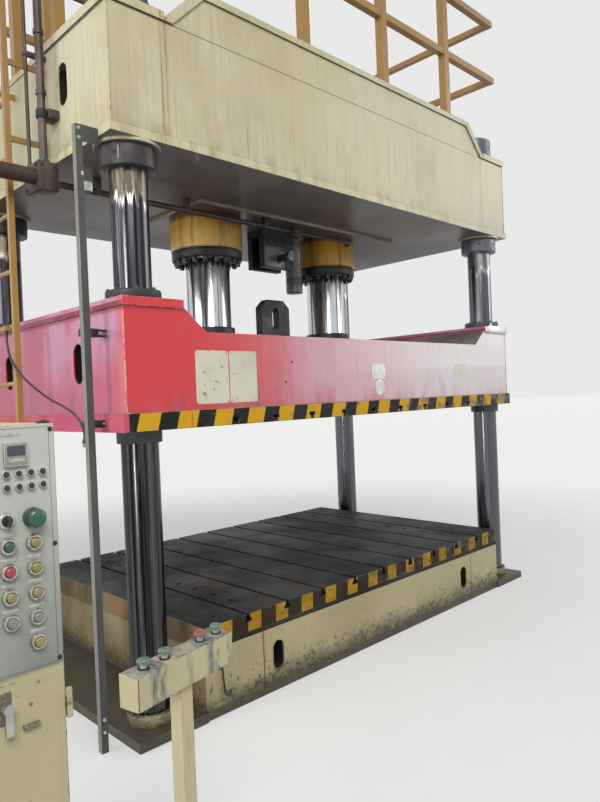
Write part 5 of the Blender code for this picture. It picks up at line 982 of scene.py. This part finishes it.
def add_cylinders():
    """Barrels, gland rings with their bolts and the plungers, all turned smooth."""
    for side, x in (("left", -CYLINDER_X), ("right", CYLINDER_X)):
        low, high, _ = span_of(f"cylinder_{side}")
        bm = bmesh.new()
        turned(bm, [(BARREL_R - 0.03, low.z + 0.0005), (BARREL_R - 0.008, low.z + 0.0005), (BARREL_R, low.z + 0.01),
                    (BARREL_R, BARREL_TOP - 0.01), (BARREL_R - 0.004, BARREL_TOP)], (x, 0, 0))
        piece(f"cylinder_skin_{side}", bm, "ochre", ROOT, "ochre_paint", f"cylinder_{side}")
        low, high, _ = span_of(f"gland_{side}")
        bm = bmesh.new()
        ring_solid(bm, [(0.16, low.z + 0.012), (0.166, low.z + 0.004), (0.176, low.z), (0.242, low.z),
                        (0.25, low.z + 0.007), (0.25, high.z - 0.014), (0.246, high.z - 0.01),
                        (0.246, high.z - 0.004), (0.252, high.z - 0.002), (0.252, high.z), (0.16, high.z)],
                   (x, 0, 0))
        for at in around((x, 0, low.z), 0.22, 18):
            hex_bolt(bm, at, DOWN, 0.034, 0.028)
        piece(f"gland_ring_{side}", bm, "gland", ROOT, "blackened_steel", f"gland_{side}")
        low, high, _ = span_of(f"plunger_{side}")
        bm = bmesh.new()
        turned(bm, [(0.174, low.z), (0.178, low.z + 0.004), (0.178, low.z + 0.141), (0.174, low.z + 0.145),
                    (0.158, low.z + 0.145), (0.157, low.z + 0.147), (0.157, high.z - 0.006), (0.15, high.z)],
               (x, 0, 0))
        piece(f"plunger_round_{side}", bm, "plunger", SLIDE, "hard_chrome", f"plunger_{side}")


def add_lock():
    """Ram with its rod end, a fitted plate on the bracket, the pin and welds round the lug."""
    low, high, centre = span_of("lock_ram")
    flange = high.z - 0.0235
    bm = bmesh.new()
    turned(bm, [(0.06, low.z + 0.001), (0.066, low.z + 0.006), (0.066, low.z + 0.12), (0.063, low.z + 0.124),
                (0.063, low.z + 0.136), (0.066, low.z + 0.14), (0.066, flange), (0.088, flange),
                (0.088, high.z - 0.001)], (centre.x, centre.y, 0), sides=64)
    for at in around((centre.x, centre.y, flange), 0.076, 6):
        hex_bolt(bm, at, DOWN, 0.013, 0.008)
    piece("lock_ram_round", bm, "ram", ROOT, "panel_grey", "lock_ram")
    front = span_of("lock_bracket")[0].y
    bm = bmesh.new()
    soft_box(bm, (-0.146, front - 0.004, 2.67), (0.06, front + 0.001, 2.828), 0.004)
    for z in (2.688, 2.81):
        for x in (-0.129, 0.043):
            hex_bolt(bm, (x, front - 0.004, z), FORWARD, 0.014, 0.008)
    ring_solid(bm, [(0.03, 0), (0.04, 0), (0.04, 0.007), (0.037, 0.009), (0.03, 0.009)],
               (0, front - 0.003, 2.735), FORWARD, 40)
    piece("lock_face_plate", bm, "lock_face", ROOT, "blackened_steel")
    low, high, centre = span_of("lock_pin")
    length = high.y - low.y
    bm = bmesh.new()
    turned(bm, [(0.023, 0), (0.027, 0.006), (0.027, length - 0.018), (0.042, length - 0.018),
                (0.042, length - 0.004), (0.038, length)], (centre.x, high.y, centre.z), FORWARD, 48)
    piece("lock_pin_round", bm, "pin", "lock_pin_body", "machined_steel", "lock_pin")
    bm = bmesh.new()
    for side in (-1, 1):
        for x in (-0.118, 0.118):
            weld_bead(bm, [(x - 0.02, side * 0.036, 2.034), (x + 0.02, side * 0.036, 2.034)], 0.004)
        weld_bead(bm, [(-0.145, side * 0.037, 2.035), (0.145, side * 0.037, 2.035)], 0.006)
    piece("lug_welds", bm, "casting", SLIDE, "blackened_steel")


def add_pipes():
    """The oil lines as round tubes with saddles, unions and bolted flanges."""
    x, y = SUPPLY
    bm = bmesh.new()
    swept(bm, bent([(x, y, 2.9555), (x, y, 4.08), (-1.26, y, 4.08), (-1.26, y, 3.853)], 0.11), SUPPLY_R, 32)
    for z in (3.32, 3.64):
        turned(bm, [(0.0225, 0), (0.027, 0.002), (0.027, 0.026), (0.0225, 0.028)], (x, y, z), sides=32)
    stud(bm, (0.034, 0.016), (0.03, 0.018), (-1.26, y, 3.8525), UP, 32)
    stud(bm, (0.036, 0.018), (0.03, 0.02), (x, y, 2.9555), UP, 6)
    soft_box(bm, (x + 0.018, y - 0.046, 3.196), (-1.8905, y + 0.046, 3.244), 0.003)
    piece("supply_line", bm, "pipe", ROOT, "brown_pipe", "supply_pipe")
    bm = bmesh.new()
    ring_solid(bm, [(0.0212, -0.022), (0.0285, -0.022), (0.03, -0.02), (0.03, 0.02), (0.0285, 0.022),
                    (0.0212, 0.022)], (x, y, 3.22), sides=32)
    for side in (-0.036, 0.036):
        hex_bolt(bm, (x + 0.018, y + side, 3.22), LEFT, 0.014, 0.01)
    piece("supply_saddle", bm, "hole", ROOT, "brown_pipe")

    bm = bmesh.new()
    soft_box(bm, (-2.023, -0.46, 2.805), (-1.913, -0.29, 2.9548), 0.004)
    x, y = PILOT
    swept(bm, bent([(x, y, 2.95), (x, y, 3.98), (-1.3, y, 3.98), (-1.3, y, 3.853)], 0.04), PILOT_R, 20)
    soft_box(bm, (x - 0.013, y - 0.013, 3.56), (-1.8905, y + 0.013, 3.585), 0.002)
    stud(bm, (0.016, 0.014), (0.013, 0.016), (x, y, 2.9548), UP, 6)
    turned(bm, [(0.041, 0), (0.041, 0.325), (0.06, 0.325), (0.06, 0.341), (0.057, 0.343)],
           (-2.015, -0.405, 2.88), LEFT, 48)
    for across, rise in ((0.051 * math.cos(t), 0.051 * math.sin(t)) for t in circle(6)):
        hex_bolt(bm, (-2.34, -0.405 + across, 2.88 + rise), RIGHT, 0.01, 0.006)
    for z in (2.825, 2.935):
        for y in (-0.44, -0.31):
            hex_bolt(bm, (-2.023, y, z), LEFT, 0.014, 0.009)
        for x in (-2.003, -1.933):
            cap_screw(bm, (x, -0.46, z), FORWARD, 0.007, 0.007)
    piece("manifold_lines", bm, "pipe", ROOT, "brown_pipe", "manifold")

    y, z = CROSS_Y, CROSS_Z
    start, block, barrel = -1.9125, -0.08, -BARREL_R - 0.001
    bm = bmesh.new()
    swept(bm, [(start, y, z), (block + 0.001, y, z)], 0.018, 32)
    stud(bm, (0.03, 0.022), (0.025, 0.026), (start, y, z), RIGHT, 6)
    stud(bm, (0.028, 0.02), (0.024, 0.024), (block, y, z), LEFT, 6)
    soft_box(bm, (block, y - 0.035, z - 0.035), (-0.01, y + 0.035, z + 0.035), 0.003)
    for dx in (-0.062, -0.028):
        for dz in (-0.018, 0.018):
            cap_screw(bm, (dx, y - 0.035, z + dz), FORWARD, 0.0065, 0.008)
    hex_bolt(bm, (-0.045, y, z + 0.035), UP, 0.02, 0.012)
    for hx, under in HANGERS:
        soft_box(bm, (hx - 0.0175, y - 0.019, z - 0.019), (hx + 0.0175, y + 0.019, under), 0.002)
        hex_bolt(bm, (hx, y - 0.019, z + 0.04), FORWARD, 0.012, 0.007)
    swept(bm, bent([(-0.012, y, z), (CYLINDER_X, y, z), (CYLINDER_X, barrel + 0.0002, z)], 0.036), 0.012, 24)
    stud(bm, (0.02, 0.02), (0.016, 0.023), (CYLINDER_X, barrel, z), FORWARD, 6)
    stud(bm, (0.019, 0.018), (0.015, 0.021), (-0.01, y, z), RIGHT, 6)
    piece("cross_line", bm, "pipe", ROOT, "brown_pipe", "cross_pipe")


def cable_points():
    """The same smooth line as the solid cable, through the shared route."""
    route = [Vector(p) for p in CABLE_ROUTE]
    spans = len(route) - 3
    made = [route[0]]
    for i in range(CABLE_POINTS - 2):
        t = spans * i / (CABLE_POINTS - 3)
        k = min(int(t), spans - 1)
        u = t - k
        a, b, c, d = route[k:k + 4]
        made.append(0.5 * ((2 * b) + (c - a) * u + (2 * a - 5 * b + 4 * c - d) * u * u
                           + (3 * b - a - 3 * c + d) * u * u * u))
    return [tuple(p) for p in made + [route[-1]]]


def add_rail_fittings():
    """Cable, its two glands, the switch box cover, a tag and fixing bolts on the limit rail and arms."""
    bm = bmesh.new()
    route = cable_points()
    swept(bm, route, CABLE_R, 20)
    cable = piece("cable_sheath", bm, "rubber", ROOT, "black_rubber", "signal_cable")
    bm = bmesh.new()
    x, y, z = CABLE_ROUTE[-1]
    turned(bm, [(0.0085, 0.03), (0.0105, 0.016), (0.013, 0.014), (0.013, 0.004), (0.0115, 0)],
           (x, y, z - 0.004), sides=20)
    rail_gland = piece("cable_gland_rail", bm, "black", ROOT, "black_rubber")
    bm = bmesh.new()
    turned(bm, [(0.008, -0.026), (0.0105, -0.01), (0.0125, -0.008), (0.0125, 0.001)], CABLE_ROUTE[0], sides=20)
    ladder_gland = piece("cable_gland_ladder", bm, "black", ROOT, "black_rubber")
    bm = bmesh.new()
    soft_box(bm, (-1.9862, -0.8775, 2.698), (-1.944, -0.8745, 2.742), 0.001)
    for dz in (-0.012, 0.012):
        cap_screw(bm, (-1.965, -0.8775, 2.72 + dz), FORWARD, 0.003, 0.003)
    for z in (2.945, 2.99, 0.1, 0.16):
        hex_bolt(bm, (-2.003, -0.878, z), FORWARD, 0.014, 0.009)
    piece("rail_fixings", bm, "bright", ROOT, "machined_steel")
    bm = bmesh.new()
    soft_box(bm, (-1.9985, -0.88, 2.768), (-1.9865, -0.8775, 2.786), 0.0006)
    piece("rail_tag", bm, "plate", ROOT, "panel_grey")
    for name, deep in (("upper_arm", 0.021), ("lower_arm", 0.013)):
        low, high, centre = span_of(name)
        bm = bmesh.new()
        for dx in (-0.008, 0.012):
            hex_bolt(bm, (SLIDE_END - 0.045 + dx, low.y, centre.z), FORWARD, 0.011, 0.006)
        piece(f"{name}_bolts", bm, "bright", SLIDE, "blackened_steel")
        bm = bmesh.new()
        soft_box(bm, (-1.95, low.y - 0.007, centre.z - deep), (-1.908, high.y + 0.004, centre.z + deep), 0.003)
        stud(bm, (0.011, 0.006), (0.008, 0.009), (-1.938, low.y - 0.006, centre.z), FORWARD, 20)
        piece(f"{name}_block", bm, "casting", SLIDE, "blackened_steel")


def add_slide_fittings():
    """Bare plates, a nameplate blank, plugs and welds on the red slide."""
    y = SLIDE_FRONT
    bm = bmesh.new()
    for low_x, high_x, low_z, high_z, proud, corner in (
            (-1.452, -1.233, 1.65, 1.935, 0.0025, 0.018), (-1.226, -1.03, 1.65, 1.935, 0.0025, 0.012),
            (1.032, 1.187, 1.776, 1.872, 0.002, 0.004)):
        soft_box(bm, (low_x, y - proud, low_z), (high_x, y + 0.001, high_z), corner, upright_only=True)
    piece("bare_plates", bm, "plate", SLIDE, "panel_grey")
    bm = bmesh.new()
    for x in (-1.438, -1.247, -1.212, -1.044):
        for z in (1.664, 1.921):
            stud(bm, (0.0042, 0.001), (0.0026, 0.0024), (x, y - 0.002, z), FORWARD, 12)
    for x in (0.014, 0.142):
        for z in (1.774, 1.86):
            stud(bm, (0.0036, 0.001), (0.002, 0.0022), (x, y - 0.002, z), FORWARD, 12)
    piece("plate_rivets", bm, "bright", SLIDE, "machined_steel")
    bm = bmesh.new()
    soft_box(bm, (0.004, y - 0.0025, 1.764), (0.152, y + 0.001, 1.87), 0.005, upright_only=True)
    soft_box(bm, (0.022, y - 0.0035, 1.79), (0.134, y - 0.002, 1.846), 0.003, upright_only=True)
    turned(bm, [(0.054, 0), (0.054, 0.0015), (0.048, 0.0032), (0.044, 0.003)], (0.084, y, 1.706), FORWARD, 40)
    piece("name_plate_blank", bm, "name_plate", SLIDE, "panel_grey")
    bm = bmesh.new()
    for x, z in ((-0.746, 1.877), (-0.802, 1.758)):
        stud(bm, (0.0075, 0.0006), (0.005, 0.0008), (x, y, z), FORWARD, 16)
    piece("slide_plugs", bm, "hole", SLIDE, "red_paint")
    bm = bmesh.new()
    soft_box(bm, (1.56, -0.985, 2.14), (1.875, -0.9805, 2.2), 0.001)
    turned(bm, [(0.016, 0), (0.016, 0.02), (0.012, 0.024), (0.012, 0.032), (0.007, 0.036)],
           (1.64, -0.96, 2.193), sides=20)
    piece("oil_cup", bm, "name_plate", SLIDE, "panel_grey")
    bm = bmesh.new()
    for side in (-1, 1):
        x, y = side * SLIDE_END, side * SLIDE_FRONT
        outer = y + 0.0005 * math.copysign(1, y)
        weld_bead(bm, [(x, SLIDE_FRONT, 2.14), (x, SLIDE_FRONT, 1.62)], 0.0035)
        weld_bead(bm, [(SLIDE_END, outer, SLIDE_FOOT), (-SLIDE_END, outer, SLIDE_FOOT)], 0.0045)
        for end in (SLIDE_END, -SLIDE_END):
            weld_bead(bm, [(end, y, SLIDE_FLANGE), (math.copysign(1.53, end), y, SLIDE_FLANGE)], 0.0045)
        for z in (SLIDE_FOOT, SLIDE_FLANGE):
            weld_bead(bm, [(x, SLIDE_FRONT, z), (x, -SLIDE_FRONT, z)], 0.0045)
    piece("slide_welds", bm, "slide", SLIDE, "red_paint")


def add_frame_fittings():
    """Weld beads on the crown and bed, the column collars and the bent rod on the bed's front."""
    bm = bmesh.new()
    for side in (-1, 1):
        x, y = side * CROWN_END, side * CROWN_FRONT
        weld_bead(bm, [(-CROWN_END, y, CROWN_FOOT), (CROWN_END, y, CROWN_FOOT)], 0.0045)
        for z in (CROWN_FOOT, 3.605):
            weld_bead(bm, [(x, CROWN_FRONT, z), (x, -CROWN_FRONT, z)], 0.0045)
        for end in (-CROWN_END, CROWN_END):
            weld_bead(bm, [(end, y, CROWN_FOOT), (end, y, 3.6)], 0.004)
    seat = [(x, y, 2.9735) for x, y in ((-0.91, -0.35), (1.11, -0.35), (1.11, 0.35), (-0.91, 0.35))]
    weld_bead(bm, seat + seat[:1], 0.005)
    piece("crown_welds", bm, "crown", ROOT, "cream_paint")
    bm = bmesh.new()
    for x, y in CORNERS.values():
        ring_solid(bm, [(COLUMN_R + 0.003, 0.0505), (0.123, 0.0505), (0.123, 0.101), (0.119, 0.106),
                        (0.102, 0.106), (COLUMN_R + 0.003, 0.102)], (x, y, 0), sides=64)
        for at in around((x, y, 0.1055), 0.1125, 8, phase=0):
            hex_bolt(bm, at, UP, 0.012, 0.007)
    for side in (-1, 1):
        weld_bead(bm, [(side * 1.5, -1.005, 0.0515), (side * 1.5, 1.005, 0.0515)], 0.006)
        for x in (BED_SEAM, -BED_SEAM):
            weld_bead(bm, [(x, side * BED_FRONT, 0.006), (x, side * BED_FRONT, 0.354)], 0.003)
    piece("bed_welds", bm, "bed", ROOT, "cream_paint")
    bm = bmesh.new()
    proud, near, seated = BED_FRONT - 0.012, BED_FRONT - 0.006, BED_FRONT + 0.002
    swept(bm, [(-1.398, seated, 0.254), (-1.398, near, 0.253), (-1.397, proud, 0.246), (-1.392, proud, 0.18),
               (-1.384, proud, 0.118), (-1.376, proud, 0.106), (-1.362, proud, 0.102), (-1.349, proud, 0.106),
               (-1.344, near, 0.114), (-1.344, seated, 0.116)], 0.0055, 10)
    stud(bm, (0.011, 0.005), (0.009, 0.007), (-1.398, BED_FRONT, 0.252), FORWARD, 16)
    piece("bed_rod", bm, "casting", ROOT, "blackened_steel")


def add_pocket_rims():
    """Smooth cut edges round the oval openings of crown, slide and bed."""
    for name, body, slot, face, radius, straight in (
            ("crown", ROOT, "cream_paint", CROWN_END, 0.0575, 0.057),
            ("slide", SLIDE, "red_paint", -SLIDE_END, 0.0635, 0.0485),
            ("bed", ROOT, "cream_paint", -BED_FRONT, 0.044, 0.041)):
        bm = bmesh.new()
        for side in (-1, 1):
            for place in (-POCKET_PLACES[name], POCKET_PLACES[name]):
                on_front = name == "bed"
                centre = (place, side * face) if on_front else (side * face, place)
                direction = (0, side, 0) if on_front else (side, 0, 0)
                oval_rim(bm, (*centre, POCKET_HEIGHTS[name]), direction, radius, straight)
        piece(f"{name}_pocket_rims", bm, name, body, slot)


def bezel_ring(bm, x, z, inner, outer, height):
    ring_solid(bm, [(inner, -0.0005), (outer, -0.0005), (outer, height * 0.45), (outer * 0.93, height * 0.8),
                    (outer * 0.84, height), (inner * 1.05, height), (inner, height * 0.88)],
               (x, PANEL_FRONT, z), FORWARD, 40)


def panel_strip(bm, low_x, high_x, low_z, high_z, proud=0.0008, sunk=0.0004, bevel=0.0006):
    """A thin bevelled strip on the face of the panel."""
    soft_box(bm, (low_x, PANEL_FRONT - proud, low_z), (high_x, PANEL_FRONT + sunk, high_z), bevel)


def add_panel_fittings():
    """Round caps in bright bezels, lamps, the meter, blank label strips and screws."""
    tints = ("amber", "amber", "amber", "grey", "amber", "green", "red", "amber", "grey")
    bezels, strips, lamps, rims = (bmesh.new() for _ in range(4))
    for number, tint in enumerate(tints, 1):
        low, _, centre = span_of(f"push_button_{number}")
        depth = PANEL_FRONT - low.y + 0.0045
        bm = bmesh.new()
        turned(bm, [(0.01, 0), (0.01, depth * 0.72), (0.0094, depth * 0.88), (0.0074, depth * 0.98),
                    (0.005, depth)], (centre.x, PANEL_FRONT, centre.z), FORWARD, 32)
        piece(f"button_cap_{number}", bm, tint, f"button_{number}", f"{tint}_plastic", f"push_button_{number}")
        bezel_ring(bezels, centre.x, centre.z, 0.0108, 0.0168, 0.01)
        if number != 1:
            panel_strip(strips, centre.x - 0.015, centre.x + 0.015, centre.z + 0.0185, centre.z + 0.0255,
                        proud=0.001, bevel=0.0008)
    centre = span_of("mushroom_button")[2]
    bm = bmesh.new()
    turned(bm, [(0.0105, 0), (0.0105, 0.011), (0.0135, 0.015), (0.018, 0.0175), (0.019, 0.02), (0.0188, 0.0235),
                (0.0165, 0.0275), (0.012, 0.03), (0.0055, 0.0312)], (centre.x, PANEL_FRONT, centre.z), FORWARD, 40)
    piece("mushroom_cap", bm, "green", "mushroom", "green_plastic", "mushroom_button")
    bm = bmesh.new()
    ring_solid(bm, [(0.0112, -0.0004), (0.02, -0.0004), (0.0197, 0.008), (0.0175, 0.01), (0.0112, 0.01)],
               (centre.x, PANEL_FRONT, centre.z), FORWARD, 40)
    piece("mushroom_base", bm, "mushroom_base", ROOT, "green_plastic")
    low, _, centre = span_of("selector_switch")
    bm = bmesh.new()
    stud(bm, (0.0104, 0.008), (0.0094, 0.0095), (centre.x, PANEL_FRONT, centre.z), FORWARD, 32)
    soft_box(bm, (centre.x - 0.0034, low.y, centre.z - 0.01),
             (centre.x + 0.0034, PANEL_FRONT - 0.007, centre.z + 0.01), 0.0016)
    piece("selector_knob", bm, "black", "selector", "black_plastic", "selector_switch")
    bezel_ring(bezels, centre.x, centre.z, 0.0112, 0.0165, 0.006)
    piece("button_bezels", bezels, "bezel", ROOT, "panel_grey")

    for z in (1.545, 1.519):
        for i in range(4):
            at = (-3.006 + 0.0237 * i, PANEL_FRONT, z)
            turned(lamps, [(0.0062, 0), (0.0062, 0.0068), (0.0052, 0.0088), (0.0026, 0.0098)], at, FORWARD, 24)
            ring_solid(rims, [(0.006, -0.0004), (0.0078, -0.0004), (0.0076, 0.0022), (0.0068, 0.003),
                              (0.006, 0.0026)], at, FORWARD, 24)
    piece("lamp_caps", lamps, "black", ROOT, "black_plastic")
    piece("lamp_rims", rims, "bezel", ROOT, "panel_grey")

    for x in (-3.02, -2.995, -2.97, -2.945):
        panel_strip(strips, x + 0.0055, x + 0.023, 1.53, 1.535)
    panel_strip(strips, -3.002, -2.97, 1.5675, 1.5745, 0.009, -0.0078, 0.0005)
    panel_strip(strips, -3.04, -2.975, 1.618, 1.626)
    piece("label_strips", strips, "strip", ROOT, "panel_grey")
    bm = bmesh.new()
    panel_strip(bm, -3.0095, -2.9625, 1.5595, 1.6065, proud=0.0082, bevel=0.0022)
    piece("meter_case", bm, "meter", ROOT, "panel_grey")
    bm = bmesh.new()
    panel_strip(bm, -3.0035, -2.9685, 1.58, 1.6, 0.009, -0.0078)
    piece("meter_display", bm, "display", ROOT, "black_plastic")
    bm = bmesh.new()
    for x, heights in ((-2.914, (1.628, 1.395, 1.162)), (-3.242, (1.628, 1.395, 1.162)), (-3.078, (1.628, 1.162))):
        for z in heights:
            stud(bm, (0.005, 0.0008), (0.0038, 0.0018), (x, PANEL_FRONT, z), FORWARD, 20)
    piece("panel_screws", bm, "casting", ROOT, "blackened_steel")
    bm = bmesh.new()
    edge = ((-3.2375, 1.156), (-2.9175, 1.156), (-2.9175, 1.633), (-3.2375, 1.633))
    for (xa, za), (xb, zb) in zip(edge, edge[1:] + edge[:1]):
        panel_strip(bm, min(xa, xb) - 0.0004, max(xa, xb) + 0.0004, min(za, zb) - 0.0004, max(za, zb) + 0.0004,
                    proud=0.0004, bevel=0.0001)
    piece("panel_border", bm, "border", ROOT, "blackened_steel")


def add_door_fittings():
    """Latch plate, rivets and a catch on the cabinet door, with louvres low down, and plugs on top."""
    front = DOOR_FRONT
    bm = bmesh.new()
    soft_box(bm, (-3.042, front - 0.0002, 1.07), (-3.018, front + 0.0006, 1.132), 0.003, upright_only=True)
    for x, z in ((-2.966, 1.134), (-2.982, 1.095)):
        stud(bm, (0.0035, 0.0008), (0.0022, 0.0018), (x, front, z), FORWARD, 16)
    soft_box(bm, (-3.0, front - 0.009, 1.05), (-2.968, front + 0.0004, 1.059), 0.002)
    piece("door_plate", bm, "latch", "door", "machined_steel")
    bm = bmesh.new()
    for k in range(7):
        z = 0.3 + 0.022 * k
        soft_box(bm, (-3.18, front - 0.004, z), (-2.98, front + 0.0005, z + 0.01), 0.0018)
    piece("door_louvres", bm, "door", "door", "cream_paint")
    bm = bmesh.new()
    for y in (-2.212, -2.482):
        for x in (-3.235, -2.92):
            at = (x, y, CABINET_TOP)
            ring_solid(bm, [(0.007, 0), (0.013, 0), (0.013, 0.004), (0.007, 0.004)], at, sides=24)
            stud(bm, (0.007, 0.006), (0.005, 0.007), at, UP, 6)
    piece("cabinet_top_plugs", bm, "casting", ROOT, "blackened_steel")


def add_palms():
    """Domed heads, necks and collars of the palm buttons on the stand."""
    collars = bmesh.new()
    for number, tint in enumerate(("green", "green", "red", "green"), 1):
        _, high, centre = span_of(f"palm_button_{number}")
        x, y, top = centre.x, centre.y, high.z
        bm = bmesh.new()
        turned(bm, [(0.015, 0), (0.0195, 0.003), (0.0205, 0.0065), (0.0195, 0.01), (0.015, 0.0128),
                    (0.007, 0.014)], (x, y, top - 0.014), sides=40)
        piece(f"palm_head_{number}", bm, f"palm_{tint}", f"palm_{number}", f"{tint}_plastic",
              f"palm_button_{number}")
        bm = bmesh.new()
        stud(bm, (0.0105, top - 0.015 - STAND_TOP), (0.0135, top - 0.0135 - STAND_TOP), (x, y, STAND_TOP), UP, 28)
        piece(f"palm_neck_{number}", bm, "palm_stem", f"palm_{number}", f"{tint}_plastic")
        ring_solid(collars, [(0.0125, 0), (0.0175, 0), (0.0175, 0.0022), (0.015, 0.004), (0.0125, 0.004)],
                   (x, y, STAND_TOP - 0.0004), sides=32)
    piece("palm_collars", collars, "casting", ROOT, "blackened_steel")


set_camera()
set_stage()
paint_nodes()
for add_fittings in (add_columns, add_bushes, add_cylinders, add_lock, add_pipes, add_rail_fittings,
                     add_slide_fittings, add_frame_fittings, add_pocket_rims, add_panel_fittings,
                     add_door_fittings, add_palms):
    add_fittings()
